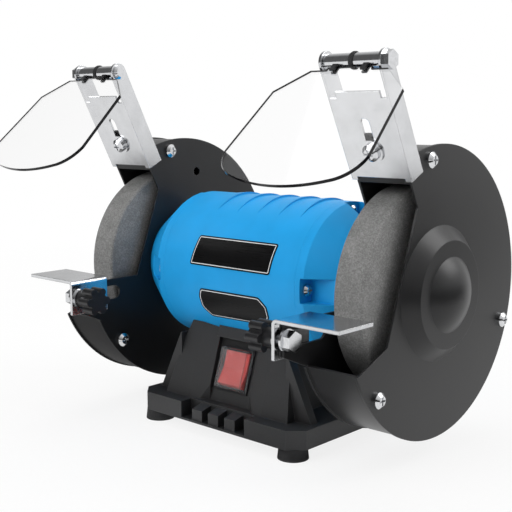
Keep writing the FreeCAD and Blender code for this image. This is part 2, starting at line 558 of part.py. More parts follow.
def make_base():
    """Plinth, tower with four legs, switch panel and saddle, moulded in one."""
    hx, hy, c = "plinth_half_x", "plinth_half_y", "plinth_corner"
    plinth = prism("XY_Plane", [
        (f"{hx} - {c}", f"-{hy}"), (hx, f"-{hy} + {c}"), (hx, f"{hy} - {c}"), (f"{hx} - {c}", hy),
        (f"-{hx} + {c}", hy), (f"-{hx}", f"{hy} - {c}"), (f"-{hx}", f"-{hy} + {c}"),
        (f"-{hx} + {c}", f"-{hy}")], "plinth_height", ("0", "0", "foot_height"), middle=False)
    recess_size = ("2 * recess_half_x", "2 * recess_depth", "plinth_height")
    recess_z = "foot_height + recess_floor"
    front = box(("-recess_half_x", "-plinth_half_y - recess_depth", recess_z), recess_size)
    rear = box(("-recess_half_x", "plinth_half_y - recess_depth", recess_z), recess_size)
    pieces = [cut(plinth, [front, rear])]

    inner = "-plinth_half_y + recess_depth + rib_lip"
    outer = "-plinth_half_y + rib_lip"
    rib = [(outer, "foot_height"), (outer, "foot_height + rib_front"),
           (inner, "plinth_top - rib_lip"), (inner, "foot_height")]
    for step in (-1, 0, 1):
        front_rib = prism("YZ_Plane", rib, "rib_width", (f"{step} * rib_pitch", "0", "0"))
        pieces += [front_rib, mirrored(front_rib, Vector(0, 1, 0))]

    low = "plinth_top - bottom_thick"
    knee = "plinth_top + tower_knee_rise"
    outline = [("tower_foot_x", low), ("tower_foot_x", "plinth_top"), ("tower_knee_x", knee),
               ("tower_top_x", "tower_top"), ("-tower_top_x", "tower_top"),
               ("-tower_knee_x", knee), ("-tower_foot_x", "plinth_top"), ("-tower_foot_x", low)]
    across = prism("XZ_Plane", outline, "2 * tower_foot_y")
    profile = [("-tower_foot_y", low), ("-tower_foot_y", "plinth_top"), ("-tower_top_y", "tower_top"),
               ("tower_top_y", "tower_top"), ("tower_foot_y", "plinth_top"), ("tower_foot_y", low)]
    along = prism("YZ_Plane", profile, "2 * tower_foot_x")
    past_y = "-tower_foot_y - panel_half_x"
    recess_top = "plinth_top + panel_rise"
    recess_y = "-panel_foot_y + (panel_foot_y - panel_top_y) * panel_rise / tower_height"
    panel = prism("YZ_Plane", [("-panel_foot_y", "plinth_top"), (recess_y, recess_top),
                               (past_y, recess_top), (past_y, "plinth_top")], "2 * panel_half_x")
    above = box(("-panel_half_x", "-tower_foot_y", "plinth_top + lintel_rise"),
                ("2 * panel_half_x", "2 * tower_foot_y", "tower_height"))
    past_x = "tower_foot_x + panel_half_x"
    end = prism("XZ_Plane", [("side_foot_x", "plinth_top"), (past_x, "plinth_top"),
                             (past_x, "tower_top"), ("side_top_x", "tower_top")], "2 * side_half_y")
    bevel = prism("XY_Plane", [
        ("panel_half_x", "-leg_bevel"), ("panel_half_x + leg_bevel", "-leg_bevel"),
        ("panel_half_x + leg_bevel", "0"), ("panel_half_x", "leg_bevel_depth")],
        "2 * tower_height", ("0", "-tower_foot_y", "plinth_top"),
        turn="-atan((tower_foot_y - tower_top_y) / tower_height) / 1 deg")
    chamfer = prism("XY_Plane", [
        ("panel_half_x", "-panel_foot_y"), ("panel_half_x", "-tower_foot_y - leg_bevel_depth"),
        ("panel_half_x + leg_chamfer", "-tower_foot_y - leg_bevel_depth"),
        ("panel_half_x + leg_chamfer", "-tower_foot_y")],
        "tower_height", ("0", "0", "plinth_top"), middle=False)
    edges = [bevel, chamfer]
    edges += [mirrored(item, Vector(1, 0, 0)) for item in edges]
    edges += [mirrored(item, Vector(0, 1, 0)) for item in edges]
    tower = cut(common(across, along), [panel, mirrored(panel, Vector(0, 1, 0)), above,
                                        end, mirrored(end, Vector(1, 0, 0))] + edges)
    pieces.append(tower)
    gusset = prism("XZ_Plane", [("side_foot_x", low), ("plinth_half_x - gusset_set", low),
                                ("plinth_half_x - gusset_set", "plinth_top"),
                                ("tower_knee_x", "plinth_top + gusset_rise"),
                                ("side_foot_x", "plinth_top + gusset_rise")],
                   "gusset_thick", ("0", "-gusset_y", "0"))
    gussets = [gusset, mirrored(gusset, Vector(1, 0, 0))]
    pieces += gussets + [mirrored(item, Vector(0, 1, 0)) for item in gussets]

    holes = [cylinder("shell_r + seat_gap", "4 * shell_half", ("-2 * shell_half", "0", "axis_height"),
                      lay="x")]
    holes.append(box(("-cavity_half_x", "-cavity_half_y", "foot_height"),
                     ("2 * cavity_half_x", "2 * cavity_half_y", "cavity_top - foot_height")))
    holes.append(box(("-cavity_half_x - bottom_rim - loose", "-cavity_half_y - bottom_rim - loose",
                      "foot_height - bottom_thick"),
                     ("2 * (cavity_half_x + bottom_rim + loose)",
                      "2 * (cavity_half_y + bottom_rim + loose)", "2 * bottom_thick")))
    cut_x = "switch_half_x - switch_rim"
    cut_z = "switch_half_z - switch_rim"
    _, front_y, front_z = switch_point("switch_depth / 2")
    holes.append(box((f"-({cut_x})", f"{front_y} - ({cut_z}) * sin(panel_lean)",
                      f"{front_z} - ({cut_z}) * cos(panel_lean)"),
                     (f"2 * ({cut_x})", "1.5 * switch_depth", f"2 * ({cut_z})"), turn="-panel_lean"))
    holes.append(cylinder("wire_hole_r", "2 * saddle_wall", ("0", "0", "cavity_top - saddle_wall / 2")))
    holes.append(cylinder("gland_thread_r + fit", "gland_thread + gland_flange",
                          gland_point("-gland_thread"), turn="panel_lean - 90"))
    for y in ("-foot_y", "foot_y"):
        for x in ("-foot_x", "foot_x"):
            holes.append(cylinder("foot_screw_r + fit", "foot_screw_bite + fit", (x, y, "foot_height")))
    for x, y in bottom_screw_places():
        holes.append(cylinder("bottom_screw_r + fit", "bottom_screw_bite + bottom_thick",
                              (x, y, "foot_height")))
    node("base_housing", cut(fuse(pieces), holes))


def bottom_screw_places():
    x = "cavity_half_x + bottom_rim / 2"
    y = "cavity_half_y / 2"
    return [(x, y), (x, f"-{y}"), (f"-({x})", y), (f"-({x})", f"-{y}")]


def make_bottom():
    plate = box(("-cavity_half_x - bottom_rim", "-cavity_half_y - bottom_rim", "foot_height"),
                ("2 * (cavity_half_x + bottom_rim)", "2 * (cavity_half_y + bottom_rim)", "bottom_thick"))
    seat = "foot_height + bottom_head_h"
    tip = "foot_height + bottom_thick + bottom_screw_bite - loose"
    screw = [("0", "foot_height"), ("bottom_head_r", "foot_height"), ("bottom_head_r", seat),
             ("bottom_screw_r", seat), ("bottom_screw_r", tip), ("0", tip)]
    holes = []
    screws = []
    for x, y in bottom_screw_places():
        holes.append(cylinder("bottom_head_r + fit", "bottom_head_h", (x, y, "foot_height")))
        holes.append(cylinder("bottom_screw_r + fit", "bottom_thick", (x, y, "foot_height")))
        screws.append(turned(screw, (x, y, "0"), along="z"))
    node("bottom_plate", cut(plate, holes))
    node("bottom_screws", group(screws))


def switch_point(out):
    """A place on the switch's axis, measured out from its panel."""
    return ("0", f"-switch_y - ({out}) * cos(panel_lean)",
            f"plinth_top + switch_rise + ({out}) * sin(panel_lean)")


def gland_point(out):
    """A place on the cable gland's axis, measured out from the rear panel."""
    return ("0", f"gland_y + ({out}) * cos(panel_lean)",
            f"plinth_top + gland_rise + ({out}) * sin(panel_lean)")


def make_switch():
    frame_at = switch_point("0")
    tilt = "-panel_lean"
    lip = [("-switch_half_x", "-switch_half_z"), ("switch_half_x", "-switch_half_z"),
           ("switch_half_x", "switch_half_z"), ("-switch_half_x", "switch_half_z")]
    front = prism("XZ_Plane", lip, "switch_lip", frame_at, tilt, middle=False)
    x, z = "switch_half_x - switch_rim - slide_gap", "switch_half_z - switch_rim - slide_gap"
    core = [(f"-({x})", f"-({z})"), (x, f"-({z})"), (x, z), (f"-({x})", z)]
    rear = prism("XZ_Plane", core, "switch_depth", frame_at, tilt, middle=False)
    rear.Tip.Reversed = True
    wx, wz = "rocker_half_x + loose", "rocker_r + loose"
    window = [(f"-({wx})", f"-({wz})"), (wx, f"-({wz})"), (wx, wz), (f"-({wx})", wz)]
    hole = prism("XZ_Plane", window, "2 * (switch_depth - switch_back)", frame_at, tilt)
    node("switch_frame", cut(fuse([front, rear]), [hole]))

    pivot = switch_point("-rocker_pivot")
    half = "rocker_r + loose"
    wedge = prism("YZ_Plane", [("-rocker_end", half), ("-rocker_middle", "0"), ("-rocker_end", f"-({half})"),
                               ("rocker_tail", f"-({half})"), ("rocker_tail", half)],
                  "2 * rocker_half_x", pivot, "-panel_lean - rocker_throw")
    barrel = cylinder("rocker_r", "2 * rocker_half_x", ("-rocker_half_x", pivot[1], pivot[2]), lay="x")
    node("switch_rocker", common(wedge, barrel))

    shells = []
    for wall in ("0", "cap_wall"):
        shell = doc.addObject("Part::Wedge", "cap")
        x = f"switch_half_x - cap_wall - {wall}"
        z = f"switch_half_z - cap_wall - {wall}"
        bind(shell, Xmin=f"-({x})", Xmax=x, X2min=f"-({x}) + cap_taper", X2max=f"{x} - cap_taper",
             Zmin=f"-({z})", Zmax=z, Z2min=f"-({z}) + cap_taper", Z2max=f"{z} - cap_taper",
             Ymin="0", Ymax=f"cap_depth - {wall}")
        shells.append(place(shell, switch_point("switch_lip"), turn="180 - panel_lean"))
    node("switch_cap", cut(shells[0], [shells[1]]))


def make_inside_base():
    r = "capacitor_r"
    half = "capacitor_length / 2"
    can = [(f"-{half}", "0"), (f"-{half}", f"{r} - cap_wall"), (f"-{half} + cap_wall", r),
           (f"{half} - base_wall", r), (f"{half} - base_wall", f"{r} - base_wall"),
           (half, f"{r} - base_wall"), (half, "0")]
    node("capacitor", turned(can, ("0", "capacitor_y", "foot_height + bottom_thick + capacitor_r + fit")))
    nose = "gland_flange + gland_nose"
    gland = [("gland_bore_r", "-gland_thread"), ("gland_thread_r", "-gland_thread"),
             ("gland_thread_r", "0"), ("gland_flange_r", "0"), ("gland_flange_r", "gland_flange"),
             ("gland_thread_r + gland_bore_r / 3", "gland_flange"),
             ("gland_thread_r", nose), ("gland_bore_r", nose)]
    node("cable_gland", turned(gland, gland_point("0"), along="z", turn="panel_lean - 90"))


def bolt_places():
    """Front, top, back and bottom of the bolt circle."""
    r = "bolt_circle_r"
    return [(f"-{r}", "axis_height"), ("0", f"axis_height + {r}"), (r, "axis_height"),
            ("0", f"axis_height - {r}")]


def make_motor():
    length = "2 * shell_half"
    tube = [cylinder("shell_r", length, ("-shell_half", "0", "axis_height"), lay="x")]
    count = int(value("louvre_count"))
    for i in range(count):
        louvre = doc.addObject("Part::Cone", "louvre")
        bind(louvre, Radius1="louvre_r - louvre_height", Radius2="louvre_r", Height="louvre_width")
        start = f"({i} - (louvre_count - 1) / 2) * louvre_pitch + louvre_shift - louvre_width"
        tube.append(place(louvre, (start, "0", "axis_height + louvre_rise"), lay="x"))
    bore = cylinder("shell_bore_r", length, ("-shell_half", "0", "axis_height"), lay="x")
    lead = cylinder("wire_hole_r", "4 * shell_wall", ("0", "0", "axis_height - shell_r - 2 * shell_wall"))
    node("motor_shell", cut(fuse(tube), [bore, lead]))

    pocket_reach = "shell_r - pocket_floor_r + shell_wall"
    pocket_long = "guard_x - pocket_face + sheet"
    tools = []
    for sign in ("-pocket_floor_r - (" + pocket_reach + ")", "pocket_floor_r"):
        tools.append(box(("pocket_face", sign, "axis_height - pocket_half"),
                         (pocket_long, pocket_reach, "2 * pocket_half")))
        tools.append(box(("pocket_face", "-pocket_half", f"axis_height + {sign}"),
                         (pocket_long, "2 * pocket_half", pocket_reach)))
    start = "shell_half - spigot"
    for y, z in bolt_places():
        tools.append(cylinder("bolt_r + fit", "spigot + pocket_wall", (start, y, z), lay="x"))
    for y, z in guard_screw_places():
        tools.append(cylinder("guard_screw_r + fit", "guard_screw_bite + loose",
                              ("guard_x - guard_screw_bite - loose", y, z), lay="x"))
    spigot_r = "shell_bore_r - fit"
    spigot_in = "shell_bore_r - spigot_wall"
    seat_end = "bearing_x + bearing_width + fit"
    hub = "bearing_r + hub_wall"
    floor_x = "bearing_x + bearing_width - shield_wall / 2"
    floor_r = f"shell_r - taper * ({floor_x} - crease_x) - shield_wall"
    shield = [(start, spigot_in), (start, spigot_r), ("shell_half", spigot_r), ("shell_half", "shell_r"),
              ("crease_x", "shell_r"), ("guard_x", "end_r"), ("guard_x", "shaft_clear_r"),
              (seat_end, "shaft_clear_r"), (seat_end, "bearing_r + fit"),
              ("bearing_x - fit", "bearing_r + fit"), ("bearing_x - fit", hub), (floor_x, hub),
              (floor_x, floor_r), ("pocket_face", "pocket_floor_r - shield_wall / 2"),
              ("shell_half", spigot_in)]
    pair("end_shield", cut(turned(shield), tools))

    bolts = []
    nuts = []
    for y, z in bolt_places():
        head = "pocket_face + bolt_head_h"
        tip = "-pocket_face - bolt_head_h"
        bolt = [(tip, "0"), (tip, "bolt_r"), ("pocket_face", "bolt_r"), ("pocket_face", "bolt_head_r"),
                (f"{head} - bolt_head_h / 2", "bolt_head_r"), (head, "bolt_head_r * crown"), (head, "0")]
        slots = cross_recess(f"{head} - drive_depth", "bolt_head_r", y, z)
        bolts.append(cut(turned(bolt, ("0", y, z)), slots))
        nuts.append(hexagon("bolt_nut_flat", "bolt_head_h", (tip, y, z), "bolt_r + fit"))
    node("through_bolts", group(bolts))
    node("through_bolt_nuts", group(nuts))


def make_electrics():
    long_core = "2 * stator_half"
    core = cylinder("shell_bore_r - fit", long_core, ("-stator_half", "0", "axis_height"), lay="x")
    tools = [cylinder("stator_bore_r", long_core, ("-stator_half", "0", "axis_height"), lay="x")]
    for y, z in bolt_places():
        tools.append(cylinder("bolt_r + bolt_groove", long_core, ("-stator_half", y, z), lay="x"))
    node("stator_core", cut(core, tools))

    end = "stator_half + winding_reach"
    turns = turned([("stator_half", "winding_inner_r"), ("stator_half", "winding_outer_r"),
                    (f"{end} - winding_round", "winding_outer_r", "-winding_round"),
                    (end, "winding_outer_r - winding_round"),
                    (end, "winding_inner_r + winding_round", "-winding_round"),
                    (f"{end} - winding_round", "winding_inner_r")])
    node("stator_windings", group([turns, mirrored(turns, Vector(1, 0, 0))]))

    rotor_r = "stator_bore_r - air_gap"
    ring_x = "stator_half + rotor_ring"
    ring_r = f"{rotor_r} - rotor_ring_step"
    bore = "core_shaft_r + fit"
    half = [("stator_half", bore), ("stator_half", "rotor_ring_bore_r"), (ring_x, "rotor_ring_bore_r"),
            (ring_x, ring_r), ("stator_half", ring_r), ("stator_half", rotor_r)]
    other = [(f"-({x})", r) for x, r in reversed(half)]
    node("rotor_core", turned(half + other))

    seat = "bearing_x - loose"
    steps = [(seat, "core_shaft_r"), (seat, "bearing_bore_r"), ("shoulder_x", "bearing_bore_r"),
             ("shoulder_x", "spindle_r"), ("spindle_end - spindle_past", "spindle_r"),
             ("spindle_end", "spindle_r - spindle_past"), ("spindle_end", "0")]
    back = [(f"-({x})", r) for x, r in reversed(steps)]
    node("shaft", turned(back + steps))

    last = "bearing_x + bearing_width"
    inner = "bearing_bore_r + running"
    inner_top = "bearing_bore_r + bearing_race"
    outer_low = "bearing_r - bearing_race"
    ring = [("bearing_x", inner), ("bearing_x", inner_top), ("bearing_x + bearing_dish", inner_top),
            ("bearing_x + bearing_dish", outer_low), ("bearing_x", outer_low), ("bearing_x", "bearing_r"),
            (last, "bearing_r"), (last, outer_low), (f"{last} - bearing_dish", outer_low),
            (f"{last} - bearing_dish", inner_top), (last, inner_top), (last, inner)]
    pair("bearing", turned(ring))


def ring_places(ring):
    """Y and Z of three places on a ring, counted from the guard opening's axis."""
    places = []
    for step in range(3):
        angle = f"(post_turn + {step} * 120 + opening_tilt)"
        places.append((f"-{ring} * cos({angle})", f"axis_height + {ring} * sin({angle})"))
    return places


def guard_screw_places():
    return ring_places("guard_screw_ring_r")


def opening_tool():
    """The mouth of a guard, as a solid to cut away."""
    far = "(guard_r + post_ring_r)"
    flare = f"opening_half + ({far} - opening_chord) * tan(opening_flare)"
    mouth = [("-opening_chord", "-opening_half"), ("-opening_chord", "opening_half"),
             (f"-{far}", flare), (f"-{far}", f"-({flare})")]
    return prism("YZ_Plane", mouth, "2 * guard_depth", ("guard_mid", "0", "axis_height"), "-opening_tilt")


def make_guards():
    middle = ("guard_x", "0", "axis_height")
    band_r = "guard_r - band_inset"
    band_long = "cover_in - guard_x"
    drum = cut(cylinder(band_r, band_long, middle, lay="x"),
               [cylinder(f"{band_r} - sheet", band_long, middle, lay="x")])
    plate = cylinder("guard_r", "sheet", middle, lay="x")
    pieces = [cut(fuse([plate, drum]), [opening_tool()])]
    posts = ring_places("post_ring_r")
    for y, z in posts:
        pieces.append(cylinder("post_r", band_long, ("guard_x", y, z), lay="x"))
    tab_y, tab_z = in_bracket("0", "tab_start")
    pieces.append(box(("guard_x", tab_y, tab_z), (f"{band_long} - loose", "sheet", "tab_end - tab_start"),
                      turn="bracket_lean"))
    low_y = "-opening_half * sin(opening_tilt) - opening_chord * cos(opening_tilt)"
    low_z = "opening_chord * sin(opening_tilt) - opening_half * cos(opening_tilt)"
    rim = "(guard_r - band_inset - sheet)"
    arm_top = "-rest_drop - rest_bend"
    arm = [("-arm_reach", arm_top), ("-arm_reach", "-arm_depth"),
           (f"-{rim} * cos(arm_root)", f"-{rim} * sin(arm_root)"),
           (f"{low_y} + post_r", f"{low_z} - post_r"), ("-opening_chord", arm_top)]
    pieces.append(prism("YZ_Plane", arm, "sheet", ("guard_x", "0", "axis_height"), middle=False))

    tools = [cylinder("guard_hole_r", "2 * sheet", ("guard_x - sheet / 2", "0", "axis_height"), lay="x")]
    tools.append(cylinder("spare_hole_r", "2 * sheet", ("guard_x - sheet / 2", "spare_hole_y",
                                                        "axis_height + spare_hole_rise"), lay="x"))
    for y, z in guard_screw_places():
        tools.append(cylinder("guard_screw_r + loose", "2 * sheet", ("guard_x - sheet / 2", y, z), lay="x"))
    bite = "cover_screw_bite + loose"
    for y, z in posts:
        tools.append(cylinder("cover_screw_r + fit", bite, (f"cover_in - ({bite})", y, z), lay="x"))
        tools.append(cylinder("cover_screw_r + fit", bite, ("guard_x", y, z), lay="x"))
    hole_y, hole_z = in_bracket("-sheet", "bracket_start + slot_low")
    tools.append(cylinder("spark_screw_r + fit", "3 * sheet", ("guard_mid", hole_y, hole_z),
                          turn="bracket_lean - 90"))
    slot_x = "guard_x - sheet / 2"
    tools.append(cylinder("arm_slot_half", "2 * sheet", (slot_x, "-arm_slot_back", "rest_bolt_z"), lay="x"))
    tools.append(box((slot_x, "-arm_reach - sheet", "rest_bolt_z - arm_slot_half"),
                     ("2 * sheet", "arm_reach + sheet - arm_slot_back", "2 * arm_slot_half")))
    pair("guard", cut(fuse(pieces), tools))


def cross_recess(start, head_r, y, z):
    """Two crossed slots in the end of a screw that lies along X."""
    arm = f"{head_r} * drive_arm"
    across = box((start, f"{y} - {arm}", f"{z} - drive_width / 2"),
                 ("drive_depth", f"2 * {arm}", "drive_width"))
    upright = box((start, f"{y} - drive_width / 2", f"{z} - {arm}"),
                  ("drive_depth", "drive_width", f"2 * {arm}"))
    return [across, upright]


def screw_along_x(face, head_r, head_h, shank_r, bite, outward, place_y, place_z):
    """A pan-head screw with a cross recess whose head sits on a face square to X."""
    out, back = ("+", "-") if outward else ("-", "+")
    head = f"{face} {out} {head_h}"
    shoulder = f"{face} {out} {head_h} / 2"
    tip = f"{face} {back} ({bite})"
    points = [(tip, "0"), (tip, shank_r), (face, shank_r), (face, head_r), (shoulder, head_r),
              (head, f"{head_r} * crown"), (head, "0")]
    screw = turned(points if outward else points[::-1], ("0", place_y, place_z))
    return cut(screw, cross_recess(f"{head} - drive_depth" if outward else head, head_r, place_y, place_z))


def make_covers():
    top = "cover_out + boss_rise"
    low = "cover_in + boss_rise"
    dome = "(dome_r ^ 2 + dome_rise ^ 2) / (2 * dome_rise)"
    in_r = "(dome_r - sheet)"
    in_dome = f"({in_r} ^ 2 + dome_rise ^ 2) / (2 * dome_rise)"
    sheet_shape = [(f"{top} + dome_rise", "0", dome), (top, "dome_r"), (top, "boss_top_r"),
                   ("cover_out", "boss_base_r"), ("cover_out", "guard_r"), ("cover_in", "guard_r"),
                   ("cover_in", "boss_base_r - sheet / 2"), (low, "boss_top_r - sheet / 2"),
                   (low, in_r, f"-({in_dome})"), (f"{low} + dome_rise", "0")]
    tools = [opening_tool()]
    screws = []
    for y, z in ring_places("post_ring_r"):
        tools.append(cylinder("cover_screw_r + loose", "2 * sheet", ("cover_in - sheet / 2", y, z), lay="x"))
        screws.append(screw_along_x("cover_out", "cover_head_r", "cover_head_h", "cover_screw_r",
                                    "cover_screw_bite", True, y, z))
    pair("guard_cover", cut(turned(sheet_shape), tools))
    right = group(screws)
    node("cover_screws", group([right, mirrored(right, Vector(1, 0, 0))]))

    inside = []
    for y, z in guard_screw_places():
        inside.append(screw_along_x("guard_in", "guard_head_r", "guard_head_h", "guard_screw_r",
                                    "guard_screw_bite + sheet", True, y, z))
    right = group(inside)
    node("guard_screws", group([right, mirrored(right, Vector(1, 0, 0))]))
    backs = []
    for y, z in ring_places("post_ring_r"):
        backs.append(screw_along_x("guard_x", "cover_head_r", "cover_head_h", "cover_screw_r",
                                   "cover_screw_bite", False, y, z))
    right = group(backs)
    node("post_screws", group([right, mirrored(right, Vector(1, 0, 0))]))


def make_wheels():
    bore = "spindle_r + fit"
    edge = "wheel_edge"
    wheel = [("wheel_in", bore), ("wheel_in", f"wheel_r - {edge}"), (f"wheel_in + {edge}", "wheel_r"),
             (f"wheel_out - {edge}", "wheel_r"), ("wheel_out", f"wheel_r - {edge}"), ("wheel_out", bore)]
    pair("grinding_wheel", turned(wheel))
    rim = "flange_r - flange_rim"
    seat = "wheel_in - blotter_thick"
    inner = [("shoulder_x", bore), ("shoulder_x", "flange_r - flange_relief"),
             ("shoulder_x + flange_relief", "flange_r"), (seat, "flange_r"), (seat, rim),
             (f"{seat} - flange_relief", rim), (f"{seat} - flange_relief", bore)]
    pair("inner_flange", turned(inner))
    face = "wheel_out + blotter_thick"
    outer = [("nut_x", bore), ("nut_x", "flange_r - flange_relief"),
             ("nut_x - flange_relief", "flange_r"), (face, "flange_r"), (face, rim),
             (f"{face} + flange_relief", rim), (f"{face} + flange_relief", bore)]
    pair("outer_flange", turned(outer[::-1]))
    papers = []
    for low, high in ((seat, "wheel_in"), ("wheel_out", face)):
        papers.append(turned([(low, bore), (low, "blotter_r"), (high, "blotter_r"), (high, bore)]))
    right = group(papers)
    node("blotters", group([right, mirrored(right, Vector(1, 0, 0))]))
    pair("wheel_nut", hexagon("nut_flat", "nut_height", ("nut_x", "0", "axis_height"), bore))


def make_spark_guards():
    """A bent channel with an adjusting slot and two ears for the eye shield's rod."""
    front_y = "-plate_front"
    plate_end = "bracket_start + bracket_plate"

    def block(x, back, up, size):
        y, z = in_bracket(back, up)
        return box((f"guard_mid + {x}", y, z), size, turn="bracket_lean")

    pieces = [block("-bracket_half", front_y, "bracket_start",
                    ("2 * bracket_half", "bracket_sheet", "bracket_plate"))]
    for x in ("-bracket_half", "bracket_inner"):
        pieces.append(block(x, front_y, "bracket_start", ("bracket_sheet", "bracket_depth", "ear_reach")))
        pieces.append(cylinder("bracket_depth / 2", "bracket_sheet", (f"guard_mid + {x}", "rod_y", "rod_z"),
                               lay="x"))
    tools = [cylinder("rod_r + fit", "4 * bracket_half", ("guard_mid - 2 * bracket_half", "rod_y", "rod_z"),
                      lay="x")]
    notch_half = "bracket_half - bracket_relief"
    tools.append(block(f"-({notch_half})", "-2 * plate_front", "bracket_start - bracket_notch",
                       (f"2 * ({notch_half})", "2 * plate_front", "2 * bracket_notch")))
    relief = ("bracket_relief", "2 * plate_front - slide_gap", "2 * bracket_relief")
    for x in ("-bracket_inner", "bracket_inner - bracket_relief"):
        tools.append(block(x, "-2 * plate_front", f"{plate_end} - bracket_relief", relief))
    for up in ("bracket_start + slot_low", "bracket_start + slot_low + slot_length"):
        y, z = in_bracket("-2 * plate_front", up)
        tools.append(cylinder("slot_half", "2 * plate_front", ("guard_mid", y, z), turn="bracket_lean - 90"))
    tools.append(block("-slot_half", "-2 * plate_front", "bracket_start + slot_low",
                       ("2 * slot_half", "2 * plate_front", "slot_length")))
    pair("spark_guard", cut(fuse(pieces), tools))

    at_y, at_z = in_bracket("0", "bracket_start + slot_low")
    washer_low = "plate_front + slide_gap"
    washer_top = f"{washer_low} + spark_washer"
    head = f"{washer_top} + spark_head_h"
    screw = [("0", "-sheet - spark_tail"), ("spark_screw_r", "-sheet - spark_tail"),
             ("spark_screw_r", washer_top), ("spark_head_r", washer_top),
             ("spark_head_r", f"{washer_top} + spark_head_h / 2"),
             ("spark_head_r * crown", head), ("0", head)]
    hole = "spark_screw_r + fit"
    washer = [(hole, washer_low), ("spark_washer_r", washer_low), ("spark_washer_r", washer_top),
              (hole, washer_top)]
    outward = "90 + bracket_lean"
    arm = "spark_head_r * drive_arm"
    middle = "bracket_start + slot_low"
    slots = [block(f"-{arm}", f"-({head})", f"{middle} - drive_width / 2",
                   (f"2 * {arm}", "drive_depth", "drive_width")),
             block("-drive_width / 2", f"-({head})", f"{middle} - {arm}",
                   ("drive_width", "drive_depth", f"2 * {arm}"))]
    right_screw = cut(turned(screw, ("guard_mid", at_y, at_z), along="z", turn=outward), slots)
    right_washer = turned(washer, ("guard_mid", at_y, at_z), along="z", turn=outward)
    node("spark_screws", group([right_screw, mirrored(right_screw, Vector(1, 0, 0))]))
    node("spark_washers", group([right_washer, mirrored(right_washer, Vector(1, 0, 0))]))


def make_eye_shields():
    at = ("guard_mid", "rod_y", "rod_z")
    tail = "-bracket_half - rod_tail"
    rod = turned([(tail, "0"), (tail, "rod_r"), (f"{tail} + rod_tail / 2", "rod_tail_r"),
                  ("-bracket_half", "rod_tail_r"), ("-bracket_half", "rod_r"),
                  ("bracket_half + rod_head / 2", "rod_r"), ("bracket_half + rod_head / 2", "0")], at)
    head = hexagon("rod_head_flat", "rod_head", ("guard_mid + bracket_half", "rod_y", "rod_z"), None)
    pair("shield_rod", fuse([rod, head]))
    ring = [("-ring_half", "rod_r + running"), ("-ring_half", "ring_r - ring_half / 3"),
            ("-ring_half / 3", "ring_r"), ("ring_half / 3", "ring_r"),
            ("ring_half", "ring_r - ring_half / 3"), ("ring_half", "rod_r + running")]
    pair("friction_ring", turned(ring, at))

    lens_turn = "lens_drop - 90"
    near = "ring_half + slide_gap"
    far = "bracket_inner - slide_gap"
    inner = "rod_r + running"
    sleeves = []
    clips = []
    for side in ("-", ""):
        tube = [(f"{side}({near})", inner), (f"{side}({near})", "sleeve_r"),
                (f"{side}({far})", "sleeve_r"), (f"{side}({far})", inner)]
        sleeves.append(turned(tube if side == "" else tube[::-1], at))
        spot = f"guard_mid {side or '+'} ({near} + {far}) / 2"
        half_y = "lens_thick / 2 + clip_thick"
        jaw = [(f"-({half_y})", "0"), (f"-({half_y})", "-clip_reach"), (half_y, "-clip_reach"), (half_y, "0")]
        block = prism("YZ_Plane", jaw, "2 * clip_half", (spot, "rod_y", "rod_z"), lens_turn)
        gap_y = "lens_thick / 2 + fit"
        gap = [(f"-({gap_y})", "-lens_tongue + fit"), (f"-({gap_y})", "-2 * clip_reach"),
               (gap_y, "-2 * clip_reach"), (gap_y, "-lens_tongue + fit")]
        slot = prism("YZ_Plane", gap, "4 * clip_half", (spot, "rod_y", "rod_z"), lens_turn)
        seat = cylinder("sleeve_r + fit", "4 * clip_half", (f"{spot} - 2 * clip_half", "rod_y", "rod_z"),
                        lay="x")
        clips.append(cut(block, [slot, seat]))
    pair("shield_sleeves", group(sleeves))
    pair("shield_clips", group(clips))

    neck = "bracket_inner - 2 * lens_thick"
    right = [(neck, "-lens_tongue"), (neck, "-lens_gap"), ("lens_top_half", "-lens_gap"),
             ("lens_shoulder_half", "-lens_shoulder"), ("lens_low_half", "-lens_low", "-lens_corner_r"),
             ("lens_corner_half", "-lens_corner", "-lens_bottom_r")]
    left = [("-lens_corner_half", "-lens_corner", "-lens_corner_r"), ("-lens_low_half", "-lens_low"),
            ("-lens_shoulder_half", "-lens_shoulder"), ("-lens_top_half", "-lens_gap"),
            (f"-({neck})", "-lens_gap"), (f"-({neck})", "-lens_tongue")]
    pair("eye_shield", prism("XZ_Plane", right + left, "lens_thick", at, lens_turn))


